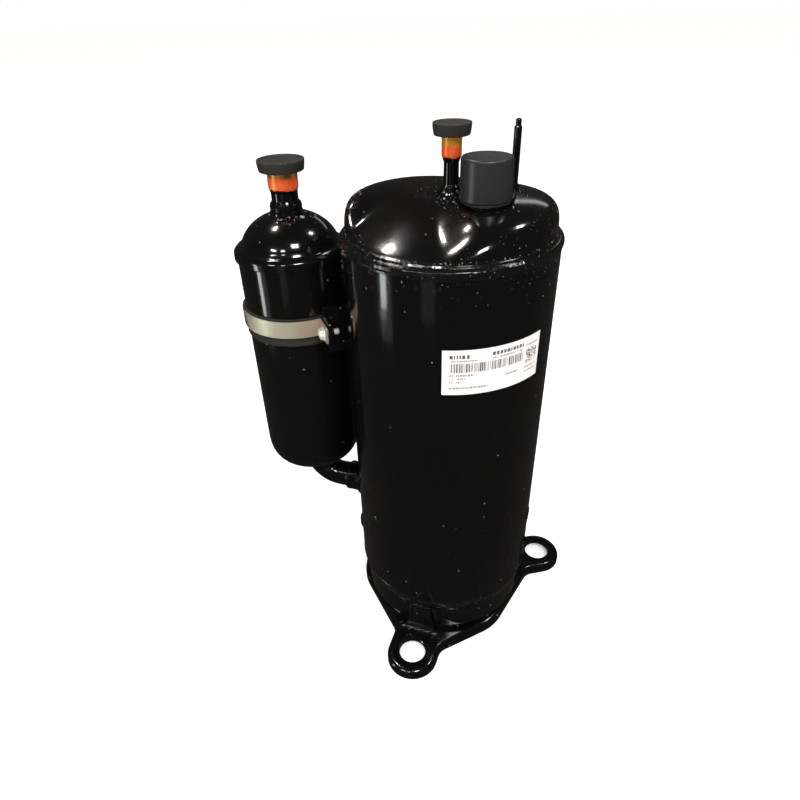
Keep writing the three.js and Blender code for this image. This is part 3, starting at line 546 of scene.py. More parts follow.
# The CAD nodes that keep their own meshes, by the finish that each takes.
CARRIED_OVER = {
    GROUND: ["terminal_header", "terminal_pin_1", "terminal_pin_2", "terminal_pin_3", "crankshaft", "roller",
             "vane", "vane_spring", "discharge_reed", "valve_stop", "valve_rivet",
             "pump_bolt_1", "pump_bolt_2", "pump_bolt_3", "pump_bolt_4", "oil_paddle"],
    IRON: ["pump_cylinder", "main_bearing", "sub_bearing"],
    LAMINATION: ["stator_core", "rotor_core"],
    MUFFLER: ["discharge_muffler"],
    WINDING: ["winding_upper", "winding_lower"],
    ALUMINIUM: ["rotor_ring_upper", "rotor_ring_lower", "accumulator_strainer"],
    BRASS: ["balance_weight_upper", "balance_weight_lower"],
    CLOTH_SLEEVE: ["terminal_connector", "motor_lead_1", "motor_lead_2", "motor_lead_3"],
}


def dress_cad_nodes():
    for material, names in CARRIED_OVER.items():
        for name in names:
            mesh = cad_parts[name].data
            mesh.materials.clear()
            mesh.materials.append(material)


dress_cad_nodes()

# ---- Base plate ----
FOOT_CIRCLE = 95.25
FOOT_HOLE = 10.8
EAR_RADIUS = 21.0
PLATE_BEND = 4.2          # outer radius of the bend round the plate's edge
HOLE_ROUND = 0.8
RIM_ROUND = 0.6
FOOT_TURNS = [TAU * foot / 3 for foot in range(3)]
# The outline's straight edges for the front foot: heading from -Y towards +X, distance from the axis, and
# the radius of the corner between it and the next edge, negative where the corner is concave.
PLATE_EDGES = [(-45, 69.5, -12.0), (-90, EAR_RADIUS, EAR_RADIUS), (0, FOOT_CIRCLE + EAR_RADIUS, EAR_RADIUS),
               (90, EAR_RADIUS, -12.0), (45, 74.5, 45.0)]
CORNER_STEPS = [10, 20, 20, 10, 14]


def sector(centre, radius, start, end, count):
    """Points along an arc, both its ends included."""
    points = []
    for i in range(count + 1):
        angle = start + (end - start) * i / count
        points.append((centre[0] + radius * math.cos(angle), centre[1] + radius * math.sin(angle)))
    return points


def plate_outline(inset):
    """The triangular plate with its three ears, all shrunk by inset, with as many points at every inset."""
    points = []
    for turn in FOOT_TURNS:
        for i, (heading, distance, corner) in enumerate(PLATE_EDGES):
            following = PLATE_EDGES[(i + 1) % len(PLATE_EDGES)]
            start = turn + math.radians(heading - 90)
            end = turn + math.radians(following[0] - 90 + (120 if i + 1 == len(PLATE_EDGES) else 0))
            to_start = distance - corner
            to_end = following[1] - corner
            det = math.sin(end - start)
            x = (to_start * math.sin(end) - to_end * math.sin(start)) / det
            y = (to_end * math.cos(start) - to_start * math.cos(end)) / det
            flip = math.pi if corner < 0 else 0
            points += sector((x, y), abs(corner - inset), start + flip, end + flip, CORNER_STEPS[i])
    return points


def level_face(outline, holes, height):
    """(vertices, faces) of a flat face inside an outline, round some holes."""
    sheet = bmesh.new()
    edges = []
    for loop in [outline, *holes]:
        apart = [p for i, p in enumerate(loop) if math.dist(p, loop[i - 1]) > 1e-4]
        corners = [sheet.verts.new((x, y, height)) for x, y in apart]
        for i, corner in enumerate(corners):
            edges.append(sheet.edges.new((corner, corners[(i + 1) % len(corners)])))
    bmesh.ops.triangle_fill(sheet, use_beauty=True, edges=edges)
    sheet.verts.index_update()
    vertices = [tuple(v.co) for v in sheet.verts]
    faces = [tuple(v.index for v in face.verts) for face in sheet.faces]
    sheet.free()
    return vertices, faces


def foot_centre(turn):
    return FOOT_CIRCLE * math.sin(turn), -FOOT_CIRCLE * math.cos(turn)


def hole_loops(radius):
    """A loop of points round each foot's hole."""
    return [sector(foot_centre(turn), radius, 0, TAU, SMALL_ROUND)[:-1] for turn in FOOT_TURNS]


def base_plate_skin():
    """A pressed tray: flat top, rolled edge, hollow underside, three grommet holes and three welded ribs."""
    thickness = PLATE_TOP
    under = PLATE_BEND - thickness * 0.6
    levels = []
    for i in range(9):
        angle = math.pi / 2 * i / 8
        inset = PLATE_BEND * (1 - math.sin(angle))
        levels.append((inset, PLATE_TOP - PLATE_BEND * (1 - math.cos(angle))))
    levels += [(0.0, BASE_LOW + RIM_ROUND), (RIM_ROUND, BASE_LOW), (thickness - RIM_ROUND, BASE_LOW),
               (thickness, BASE_LOW + RIM_ROUND)]
    levels += [(thickness, -under), (thickness + under * 0.3, -under * 0.3), (thickness + under, 0.0)]
    rim = loft([[(x, y, z) for x, y in plate_outline(inset)] for inset, z in levels])
    top = level_face(plate_outline(PLATE_BEND), hole_loops(FOOT_HOLE + HOLE_ROUND), PLATE_TOP)
    bottom = level_face(plate_outline(thickness + under), hole_loops(FOOT_HOLE), 0.0)
    edge = [(FOOT_HOLE + HOLE_ROUND, PLATE_TOP),
            (FOOT_HOLE + 0.23 * HOLE_ROUND, PLATE_TOP - 0.23 * HOLE_ROUND),
            (FOOT_HOLE, PLATE_TOP - HOLE_ROUND), (FOOT_HOLE, 0.0)]
    bores = [turned(edge, SMALL_ROUND, foot_centre(turn)) for turn in FOOT_TURNS]
    return together(rim, top, bottom, *bores)


piece("base_plate_skin", base_plate_skin(), SHEET_PAINT, replaces=["base_plate"], crease=50)

RIB_BACK = CAP_RADIUS + 0.3
RIB_TOP = 33.0
RIB_THICKNESS = 3.0


def rib():
    """The trapezoid strap that runs from the plate up the bottom cap over one foot, its foot flared out."""
    rows = [(0.0, 15.5, 2.6), (1.2, 14.2, 1.2), (3.0, 13.0, 0.3), (8.0, 11.6, 0.0),
            (RIB_TOP - PLATE_TOP, 7.5, 0.0)]
    rings = []
    for rise, half, flare in rows:
        z = PLATE_TOP - 0.5 + rise
        front = -RIB_BACK - RIB_THICKNESS - flare
        rings.append([(-half, -RIB_BACK, z), (half, -RIB_BACK, z), (half, front, z), (-half, front, z)])
    return loft(rings, ends=True)


for number, foot_turn in enumerate(FOOT_TURNS, 1):
    over_foot = Matrix.Rotation(foot_turn, 4, "Z")
    piece(f"foot_rib_{number}", moved(rib(), over_foot), SHEET_PAINT, crease=25, bevel=0.9)


def foot_welds():
    """Runs of weld at each foot between plate, rib and cap, with a few blobs, and spot welds on the rim."""
    runs = []
    for index, turn in enumerate(FOOT_TURNS):
        heading = turn - math.pi / 2
        front = RIB_BACK + RIB_THICKNESS + 1.6
        across = [Vector((-15.5 + 31 * i / 70, -front, PLATE_TOP + 0.4)) for i in range(71)]
        wavy = [p + Vector((0, 0.7 * math.sin(p.x * 0.9), 0)) for p in across]
        spin = Matrix.Rotation(turn, 4, "Z")
        runs.append(moved(bead(wavy, 1.5, 11 + index), spin))
        for side in (-1, 1):
            wide = math.radians(12) * side
            far = math.radians(23) * side
            seam = arc(CAP_RADIUS - 3.4, heading + wide, heading + far, PLATE_TOP + 1.6)
            runs.append(bead(seam, 1.9, 31 + index * side))
            blob = spin @ Vector((17.2 * side, -front - 0.3, PLATE_TOP + 0.7))
            rise = [blob + Vector((0, 0, 0.35 * k)) for k in range(7)]
            runs.append(bead(rise, 2.1 - 0.3 * side, 51 + index, 2.0))
        nub_heading = heading + math.radians(58)
        nub = [polar(69.6 + 0.3 * k, nub_heading, PLATE_TOP - 0.6 - 0.25 * k) for k in range(8)]
        runs.append(bead(nub, 1.6, 70 + index, 2.0))
    return together(*runs)


piece("foot_welds", foot_welds(), WELD, crease=80)

# ---- Shell ----
CAP_FLOOR = extent("bottom_cap")[0].z
WALL = 3.2


def bottom_cap_skin():
    skirt = extent("bottom_cap")[1].z
    corner = 6.0
    inner = CAP_RADIUS - WALL
    profile = rounded([(0, CAP_FLOOR, 0), (CAP_RADIUS, CAP_FLOOR, corner), (CAP_RADIUS, skirt, 0),
                       (inner, skirt, 0), (inner, CAP_FLOOR + WALL, corner - WALL),
                       (0, CAP_FLOOR + WALL, 0)], 8)
    return turned(profile)


piece("bottom_cap_skin", bottom_cap_skin(), PAINT, replaces=["bottom_cap"])


def shell_tube_skin():
    inner = SHELL_RADIUS - WALL
    wall = rounded([(inner, SHELL_LOW, 0.5), (SHELL_RADIUS, SHELL_LOW, 1.1),
                    (SHELL_RADIUS, SHELL_HIGH - 1, 0.8), (inner, SHELL_HIGH - 1, 0.5)], closed=True)
    return turned(wall, closed=True)


piece("shell_tube_skin", shell_tube_skin(), PAINT, replaces=["shell_tube"])


def ring_weld(profile, roughness, seed):
    """A run of weld right round the shell, from its smooth profile of (radius, height) points."""
    rings = []
    for i in range(WELD_STEPS):
        angle = TAU * i / WELD_STEPS
        along = angle * SHELL_RADIUS
        ring = []
        for j, (radius, height) in enumerate(profile):
            share = math.sin(math.pi * j / (len(profile) - 1))
            lump = noise.noise(Vector((math.cos(angle) * 30, math.sin(angle) * 30 + seed, height * 0.7)))
            fine = noise.noise(Vector((math.cos(angle) * 110, math.sin(angle) * 110, height * 2.2 + seed)))
            ripple = math.sin(TAU * along / 1.5 + height * 0.8)
            out = radius + share * roughness * (0.9 * lump + 0.6 * fine + 0.16 * ripple)
            ring.append(polar(out, angle, height + 0.25 * roughness * lump))
        rings.append(ring)
    return loft(rings, around_closed=False, along_closed=True)


TOP_BEAD = rounded([(SHELL_RADIUS - 0.6, SHELL_HIGH - 7.8, 0), (SHELL_RADIUS + 0.55, SHELL_HIGH - 7.0, 0.5),
                    (SHELL_RADIUS + 0.35, SHELL_HIGH - 5.7, 0.4), (SHELL_RADIUS + 1.15, SHELL_HIGH - 4.4, 1.2),
                    (SHELL_RADIUS + 0.95, SHELL_HIGH - 2.0, 1.4), (SHELL_RADIUS - 0.9, SHELL_HIGH - 0.6, 1.0),
                    (SHELL_RADIUS - 1.9, SHELL_HIGH - 0.4, 0.5), (CAP_RADIUS + 0.9, SHELL_HIGH + 1.0, 0.5),
                    (CAP_RADIUS - 0.9, SHELL_HIGH + 1.8, 0)], 4)
LOW_BEAD = rounded([(SHELL_RADIUS - 0.5, SHELL_LOW + 2.4, 0), (SHELL_RADIUS + 0.25, SHELL_LOW + 1.2, 0.6),
                    (SHELL_RADIUS - 0.1, SHELL_LOW - 1.2, 0.8), (SHELL_RADIUS - 1.1, SHELL_LOW - 6.0, 3.0),
                    (CAP_RADIUS + 0.5, SHELL_LOW - 11.5, 2.0), (CAP_RADIUS - 0.6, SHELL_LOW - 13.0, 0)], 4)
piece("shell_weld_top", ring_weld(TOP_BEAD, 0.17, 3.0), WELD, crease=80)
piece("shell_weld_bottom", ring_weld(LOW_BEAD, 0.22, 17.0), WELD, crease=80)

PLUG_WELDS = [(-125, 106), (-2, 95), (118, 100)]      # heading in degrees and height in mm
# From the rim of one inwards: radius, and how far it stands proud of the shell.
PLUG_PROFILE = [(7.2, -0.35), (6.6, 0.05), (5.9, 0.5), (5.1, 0.62), (4.4, 0.3), (3.2, 0.12), (1.5, 0.3),
                (0.0, 0.35)]


def plug_welds():
    """The puddles through the shell's wall that hold the pump: a raised ring round a shallow crater."""
    parts = []
    for number, (heading, height) in enumerate(PLUG_WELDS):
        rings = []
        for radius, proud in PLUG_PROFILE:
            ring = []
            for i in range(48):
                angle = TAU * i / 48
                lump = noise.noise(Vector((math.cos(angle) * 2, math.sin(angle) * 2, number * 5 + radius)))
                across, up = radius * math.cos(angle) * 1.3, radius * math.sin(angle) * 1.3
                fine = noise.noise(Vector((across, up, number)))
                size = radius * (1 + 0.10 * lump)
                around = math.radians(heading) + size * math.cos(angle) / SHELL_RADIUS
                out = SHELL_RADIUS + proud + (0.35 * fine if radius < 6.5 else 0)
                ring.append(polar(out, around, height + 1.1 * size * math.sin(angle)))
            rings.append(ring)
        parts.append(loft(rings))
    return together(*parts)


piece("plug_welds", plug_welds(), WELD, crease=80)

# ---- Top cap ----
SHOULDER = 329.0
SHOULDER_POWER = 3.8
SHOULDER_SWING = 1.6
SHOULDER_PHASE = math.radians(12)
BACK_SQUARENESS = 2.6     # the shoulder is squarest at the back left
BACK_HEADING = math.radians(140)
FACET_AZIMUTH = math.radians(-23.5)
FACET_SLOPE = 0.33
FACET_START = 10.0
FACET_BLEND = 8.0
LAND_EDGE_AZIMUTH = math.radians(22)
LAND_EDGE_WIDTH = 30.0
LEFT_EDGE_HEADING = math.radians(155)
LEFT_EDGE_START = 30.0


def shoulder_power(heading):
    """How square the shoulder's curve is at a heading: the power of its superellipse."""
    back = max(math.cos(heading - BACK_HEADING), 0)
    swing = SHOULDER_SWING * math.cos(2 * (heading - SHOULDER_PHASE))
    return SHOULDER_POWER + swing + BACK_SQUARENESS * back ** 2


def eased(t):
    """A smooth step from 0 to 1."""
    t = min(max(t, 0), 1)
    return t * t * (3 - 2 * t)


def land_height(x, y):
    """Height of the pressed top before its shoulder: a level land, and a facet that falls away from it."""
    along = x * math.sin(FACET_AZIMUTH) - y * math.cos(FACET_AZIMUTH) - FACET_START
    fall = FACET_SLOPE * 0.5 * (along + math.hypot(along, FACET_BLEND))
    across = x * math.cos(LAND_EDGE_AZIMUTH) + y * math.sin(LAND_EDGE_AZIMUTH)
    raised = eased(across / LAND_EDGE_WIDTH + 0.5)
    leftwards = x * math.cos(LEFT_EDGE_HEADING) + y * math.sin(LEFT_EDGE_HEADING)
    left_raised = eased((leftwards - LEFT_EDGE_START) / LAND_EDGE_WIDTH)
    return CAP_TOP - fall * (1 - raised) * (1 - left_raised)


def cap_height(x, y):
    """Height of the cap's surface over a point."""
    power = shoulder_power(math.atan2(y, x))
    reach = min(math.hypot(x, y) / CAP_RADIUS, 1)
    rise = (1 - reach ** power) ** (1 / power)
    return SHOULDER + (land_height(x, y) - SHOULDER) * rise


def top_cap_skin():
    rings = []
    rows = 60
    for inset in (0.0, WALL):
        radius = CAP_RADIUS - inset
        side = []
        for row in range(rows + 1):
            angle = math.pi / 2 * row / rows
            ring = []
            for i in range(ROUND):
                heading = TAU * i / ROUND
                power = shoulder_power(heading)
                reach = radius * math.sin(angle) ** (2 / power)
                x, y = reach * math.cos(heading), reach * math.sin(heading)
                rise = max(math.cos(angle), 0) ** (2 / power)
                ring.append((x, y, SHOULDER + (land_height(x, y) - inset - SHOULDER) * rise))
            side.append(ring)
        side.append([(x, y, extent("top_cap")[0].z) for x, y, z in side[-1]])
        rings += side if inset == 0 else side[::-1]
    return loft(rings)


piece("top_cap_skin", top_cap_skin(), PAINT, replaces=["top_cap"], crease=60)


def cap_normal(x, y):
    step = 0.2
    slope_x = (cap_height(x + step, y) - cap_height(x - step, y)) / (2 * step)
    slope_y = (cap_height(x, y + step) - cap_height(x, y - step)) / (2 * step)
    return Vector((-slope_x, -slope_y, 1)).normalized()


# ---- Tubes and terminal on the cap ----
SEAT = CAP_TOP + 0.3
DISCHARGE_TOP = extent("discharge_tube")[1].z
# The second height is where the heat tint and the painted shade under each plug begin.
COPPER_DISCHARGE = part_painted_copper("copper_discharge", 376.4, 383.0)
COPPER_SUCTION = part_painted_copper("copper_suction", 350.6, 358.5)


def discharge_skin():
    outside = [(3.9, 334, 0), (4.8, 334, 0.3), (4.8, 352, 0), (9.4, SEAT - 0.5, 0.5), (8.6, SEAT + 1.3, 1.0),
               (6.7, SEAT + 1.7, 0.5), (6.4, SEAT + 4.0, 0.9), (4.9, SEAT + 5.0, 0.8), (4.8, 373.2, 1.5),
               (6.3, 377.2, 2.2), (6.3, DISCHARGE_TOP, 0.35), (5.4, DISCHARGE_TOP, 0.3), (5.4, 377.4, 1),
               (3.9, 374.4, 1)]
    return turned(rounded(outside, 5, closed=True), SMALL_ROUND, closed=True)


piece("discharge_tube_skin", discharge_skin(), COPPER_DISCHARGE, replaces=["discharge_tube"])


def process_skin():
    """The service tube: a thin painted pipe, swaged down and pinched shut at its tip."""
    profile = rounded([(0, 397, 0), (1.3, 397, 0.5), (1.75, 396.4, 0.4), (1.75, 393.2, 0.3), (2.1, 392.9, 0.2),
                       (2.4, 392.0, 0.3), (2.4, 359.5, 0.8), (3.2, 357.6, 0.6), (3.8, SEAT, 0.3),
                       (5.2, SEAT - 0.6, 0.2), (2.4, 352, 0), (1.4, 346, 0)], 4)
    return turned(profile, SMALL_ROUND, (PROCESS_AXIS.x, PROCESS_AXIS.y))


piece("process_tube_skin", process_skin(), SHEET_PAINT, replaces=["process_tube"])


def gasket_skin():
    section = [(12, SEAT, 0.2), (15.6, SEAT, 0.4), (15.6, SEAT + 1, 0.4), (12, SEAT + 1, 0.2)]
    return turned(rounded(section, 7, closed=True), MIDDLE_ROUND, COVER_AXIS.xy, closed=True)


piece("terminal_gasket_skin", gasket_skin(), PAD_RUBBER, replaces=["terminal_gasket"])


def cover_skin():
    """A deep round cap with a soft top edge, slightly dished on top, open below."""
    high = extent("terminal_cover")[1].z
    low = extent("terminal_cover")[0].z
    outside = [(0, high - 0.35, 0), (9, high - 0.3, 0), (12.2, high, 2), (15.75, high, 3.4),
               (15.9, high - 8, 0), (16.0, low + 0.9, 0), (16.0, low, 0.5), (14.0, low, 0.3),
               (13.6, high - 2, 1.5), (0, high - 2.2, 0)]
    return turned(rounded(outside, 9), MIDDLE_ROUND, COVER_AXIS.xy)


piece("terminal_cover_skin", cover_skin(), COVER_PLASTIC, body="terminal_cover", replaces=["terminal_cover"],
      crease=50)


def plug_skin(node, centre, head, stem, dish):
    """A rubber transit plug: a head that widens upwards to a raised lip, and a ribbed stem."""
    low, high = extent(node)
    under = low.z + 10.5
    corners = [(0, high.z - dish, 0), (head - 2.6, high.z - dish, 0.5), (head - 2.0, high.z, 0.4),
               (head, high.z, 0.7), (head - 0.15, high.z - 3, 0), (head - 0.85, under, 1.1),
               (stem + 0.4, under - 0.05, 0.4),
               (stem - 0.3, under - 2, 0.6), (stem, under - 4, 0.6), (stem - 0.4, under - 6, 0.6),
               (stem, under - 8, 0.6), (stem - 0.9, low.z, 0.6), (0, low.z, 0)]
    return turned(rounded(corners, 5), MIDDLE_ROUND, centre)


DISCHARGE_PLUG = rubber("plug_rubber_discharge", extent("discharge_plug")[1].z)
SUCTION_PLUG = rubber("plug_rubber_suction", extent("suction_plug")[1].z)
piece("discharge_plug_skin", plug_skin("discharge_plug", (0, 0), 12.1, 4.9, 0.4), DISCHARGE_PLUG,
      body="discharge_plug", replaces=["discharge_plug"], crease=50)
piece("suction_plug_skin", plug_skin("suction_plug", (CAN_AXIS.x, 0), 16.5, 8.9, 1.1), SUCTION_PLUG,
      body="suction_plug", replaces=["suction_plug"], crease=50)

# ---- Accumulator ----
CAN_CENTRE = (CAN_AXIS.x, 0)
CAN_LOW = extent("accumulator_can")[0].z
CAN_HIGH = extent("accumulator_can")[1].z
CAN_STRAIGHT = 148.0
SKIRT = 41.8
DOME_RADIUS = 37.0
DOME_CENTRE = 306.0
DOME_TOP = 335.0
SKIRT_LOW = extent("accumulator_dome")[0].z
NECK_TOP = extent("accumulator_dome")[1].z
ELBOW_RADIUS = 11.1


def can_skin():
    mouth = ELBOW_RADIUS + 0.4
    outside = superellipse(CAN_RADIUS, CAN_STRAIGHT, CAN_LOW, 3.2, 36, mouth)
    inside = superellipse(CAN_RADIUS - 2, CAN_STRAIGHT, CAN_LOW + 2, 3.2, 20, mouth)
    profile = [*reversed(outside), (CAN_RADIUS, CAN_HIGH), (CAN_RADIUS - 2, CAN_HIGH), *inside]
    return turned(profile, ROUND, CAN_CENTRE, closed=True)


piece("accumulator_can_skin", can_skin(), PAINT, replaces=["accumulator_can"])


def dome_skin():
    """The accumulator's upper half: a skirt that laps the can, a shoulder, and a dome drawn up to a neck."""
    crown = superellipse(DOME_RADIUS, DOME_CENTRE, DOME_TOP, 2, 60, 11.9)
    crown = [(r, z) for r, z in crown if z > 314.2]
    lap = SKIRT - 1.65
    foot = rounded([(lap, SKIRT_LOW, 0.4), (SKIRT, SKIRT_LOW, 0.8), (SKIRT, 309.0, 3.2), (39.4, 311.4, 1.0),
                    (36.9, 312.0, 2.2), (crown[0][0], crown[0][1], 0)], 7)
    collar = rounded([(11.9, DOME_TOP - 0.2, 0), (11.3, 336.6, 1.0), (11.6, 338.3, 0.8),
                      (10.9, NECK_TOP, 0.5), (9.9, NECK_TOP, 0.3), (9.9, 333, 0)], 4)
    hollow = superellipse(DOME_RADIUS - 2, DOME_CENTRE, DOME_TOP - 2, 2, 30, 9.9)
    inside = [(r, z) for r, z in reversed(hollow) if z > CAN_HIGH + 1]
    return turned([*foot, *crown[1:], *collar, *inside, (inside[-1][0], CAN_HIGH + 1), (lap, CAN_HIGH + 1)],
                  ROUND, CAN_CENTRE, closed=True)


piece("accumulator_dome_skin", dome_skin(), PAINT, replaces=["accumulator_dome"], crease=50)


def inlet_skin():
    high = extent("accumulator_inlet_tube")[1].z
    corners = [(8.3, 304, 0.2), (9.5, 304, 0.2), (9.5, NECK_TOP - 0.6, 0), (10.3, NECK_TOP + 0.2, 0.6),
               (9.5, NECK_TOP + 1.6, 0.8), (9.5, 348.2, 2), (10.6, 351.4, 2), (10.6, high, 0.35),
               (9.4, high, 0.35), (9.4, 351.5, 1), (8.3, 349, 1)]
    return turned(rounded(corners, 6, closed=True), MIDDLE_ROUND, CAN_CENTRE, closed=True)


piece("inlet_tube_skin", inlet_skin(), COPPER_SUCTION, replaces=["accumulator_inlet_tube"])

BEND_RADIUS = 22.0


def elbow_skin():
    """The standpipe and elbow: down out of the can, then round to the shell, flattened in the bend."""
    turn_centre = Vector((CAN_AXIS.x + BEND_RADIUS, 0, SUCTION_HEIGHT + BEND_RADIUS))
    path = [Vector((CAN_AXIS.x, 0, z)) for z in (200, 160, 130, 122)]
    for i in range(25):
        angle = math.pi + math.pi / 2 * i / 24
        path.append(turn_centre + Vector((math.cos(angle), 0, math.sin(angle))) * BEND_RADIUS)
    path += [Vector((x, 0, SUCTION_HEIGHT)) for x in (-95, -88, -70, -42)]

    def section(share):
        squash = 0.02 * math.sin(math.pi * min(max((share - 0.12) / 0.72, 0), 1))
        return [(a * (1 + squash), b * (1 - squash)) for a, b in circle(ELBOW_RADIUS, 48)]

    return swept(path, section)


piece("suction_elbow_skin", elbow_skin(), PAINT, replaces=["suction_elbow"])


def about_port(corners):
    """A closed profile of (radius, distance from the shell's axis) turned about the suction port's axis."""
    blank = turned(rounded(corners, 5, closed=True), 72, closed=True)
    return moved(blank, Matrix.Translation((0, 0, SUCTION_HEIGHT)) @ Matrix.Rotation(-math.pi / 2, 4, "Y"))


PORT_BORE = ELBOW_RADIUS + 0.4
COLLAR_SECTION = [(PORT_BORE, 70.6, 0.2), (14, 70.6, 0.2), (14.4, 73.2, 0.6), (15.6, 74.4, 0.6),
                  (15.3, 76.2, 0.8), (13.2, 78.3, 1.0), (12.9, 85.5, 0.8), (13.3, 87.0, 0.5),
                  (13.0, 89, 0.6), (PORT_BORE, 89, 0.2)]
piece("suction_collar_skin", about_port(COLLAR_SECTION), PAINT, replaces=["suction_collar"])


def port_weld():
    """The brazed joint round the suction collar, on the shell's curve, and the one at the collar's mouth."""
    path = []
    for i in range(181):
        angle = TAU * i / 180
        y = 15.4 * math.cos(angle)
        x = -math.sqrt((SHELL_RADIUS + 0.1) ** 2 - y * y)
        path.append(Vector((x, y, SUCTION_HEIGHT + 15.4 * math.sin(angle))))
    mouth = [Vector((-89.0, 11.7 * math.cos(TAU * i / 120), SUCTION_HEIGHT + 11.7 * math.sin(TAU * i / 120)))
             for i in range(121)]
    return together(bead(path, 1.3, 5), bead(mouth, 0.75, 8, 3.0))


piece("suction_weld", port_weld(), WELD, crease=80)

# ---- Accumulator clamp ----
PAD_OUTER = 41.1
BAND_INNER = PAD_OUTER + 0.3
BAND_END = math.radians(42)


def strip(inner, outer, start, end, low, high, steps, soft):
    """A strip of cylinder wall round the accumulator, with softened edges."""
    corners = [(inner, low, soft), (outer, low, soft), (outer, high, soft), (inner, high, soft)]
    section = rounded(corners, 2, closed=True)
    rings = []
    for i in range(steps + 1):
        angle = start + (end - start) * i / steps
        rings.append([polar(r, angle, z) + Vector((CAN_AXIS.x, 0, 0)) for r, z in section])
    return loft(rings, ends=True)


def pad_skin():
    """The rubber strip under the band: it rolls out a little above and below it."""
    low, high = extent("clamp_pad")
    section = rounded([(CAN_RADIUS + 0.15, low.z, 0.3), (PAD_OUTER, low.z, 0.6), (PAD_OUTER, low.z + 2.0, 0.3),
                       (PAD_OUTER - 0.35, low.z + 2.6, 0.3), (PAD_OUTER - 0.35, BAND_LOW - 0.8, 0.4),
                       (PAD_OUTER - 0.05, BAND_LOW, 0.3), (PAD_OUTER - 0.05, BAND_HIGH, 0.3),
                       (PAD_OUTER, high.z, 0.6), (CAN_RADIUS + 0.15, high.z, 0.3)], 3, closed=True)
    rings = []
    for i in range(181):
        angle = math.radians(1 + 358 * i / 180)
        swell = 1 + 0.0012 * noise.noise(Vector((math.cos(angle) * 4, math.sin(angle) * 4, 1)))
        rings.append([polar(r * swell, angle, z) + Vector((CAN_AXIS.x, 0, 0)) for r, z in section])
    return loft(rings, ends=True)


piece("clamp_pad_skin", pad_skin(), PAD_RUBBER, replaces=["clamp_pad"], crease=50)


def extruded_outline(outline, thickness, matrix):
    """A flat plate: an outline of (x, y) points with a thickness along z, then placed."""
    rings = [[(x, y, 0) for x, y in outline], [(x, y, thickness) for x, y in outline]]
    return moved(loft(rings, ends=True), matrix)


def facing_x(x):
    """Takes plate outlines of (y, z) points to the plane at x, their thickness towards +X."""
    return Matrix(((0, 0, 1, x), (1, 0, 0, 0), (0, 1, 0, 0), (0, 0, 0, 1)))


def round_plate(corners):
    return rounded([(y, z, r) for y, z, r in corners], 5, closed=True)


# The front lug, the ear and the screw are drawn along +X about the can's axis and turned together.
FRONT_END = math.radians(-40)
CLAMP_TURN = math.radians(40)
ABOUT_CAN = Matrix.Translation((CAN_AXIS.x, 0, 0))
TO_CLAMP = ABOUT_CAN @ Matrix.Rotation(CLAMP_TURN, 4, "Z")
LUG_X = BAND_INNER * math.cos(FRONT_END - CLAMP_TURN) + 0.2
LUG_Y = BAND_INNER * math.sin(FRONT_END - CLAMP_TURN)
SCREW_REACH = 53.5
LUG_END = -SCREW_REACH - 6
EAR_X = LUG_X + 0.8
EAR_THICKNESS = 2.0
NUT_X = EAR_X + EAR_THICKNESS + 0.3
NUT_THICKNESS = 2.4
BAND_THICKNESS = 1.2
REAR_X = BAND_INNER * math.cos(BAND_END) + 0.2
REAR_Y = BAND_INNER * math.sin(BAND_END)
BAND_MIDDLE = (BAND_LOW + BAND_HIGH) / 2


def band_skin():
    """The steel band with its front lug turned out for the screw and its rear tongue."""
    outer = BAND_INNER + BAND_THICKNESS
    wrap = strip(BAND_INNER, outer, BAND_END, TAU + FRONT_END, BAND_LOW, BAND_HIGH, 150, 0.35)
    front = round_plate([(LUG_Y, BAND_LOW, 0), (LUG_Y, BAND_HIGH, 0), (LUG_END, BAND_HIGH, 2.6),
                         (LUG_END, BAND_LOW, 2.6)])
    rear = round_plate([(REAR_Y - 0.6, BAND_LOW, 0), (REAR_Y + 8, BAND_LOW, 2), (REAR_Y + 8, BAND_HIGH, 2),
                        (REAR_Y - 0.6, BAND_HIGH, 0)])
    to_front = TO_CLAMP @ facing_x(LUG_X - BAND_THICKNESS)
    to_rear = ABOUT_CAN @ facing_x(REAR_X - BAND_THICKNESS)
    return together(wrap, extruded_outline(front, BAND_THICKNESS, to_front),
                    extruded_outline(rear, BAND_THICKNESS, to_rear))


piece("clamp_band_skin", band_skin(), STRAP, replaces=["clamp_band"], crease=50)

BRACKET_SHEET = 2.0
EAR_ROOT = math.radians(-38.3)
CRADLE_END = math.radians(34)
BRACKET_LOW = extent("accumulator_bracket")[0].z
BRACKET_HIGH = extent("accumulator_bracket")[1].z
BRACKET_SPREAD = 15.4     # half the distance between the bracket's sides where they meet the shell


def bracket_path():
    """The middle of the bent sheet, seen from above: in from the shell, round the can, and back."""
    start = Vector((-math.sqrt(SHELL_RADIUS ** 2 - BRACKET_SPREAD ** 2) + 0.6, -BRACKET_SPREAD, 0))
    bends = [EAR_ROOT + (CRADLE_END - EAR_ROOT) * i / 20 for i in range(21)]
    cradle = [ABOUT_CAN @ polar(BAND_INNER + 1, angle, 0) for angle in bends]
    return [start, *cradle, Vector((start.x, BRACKET_SPREAD, 0))]


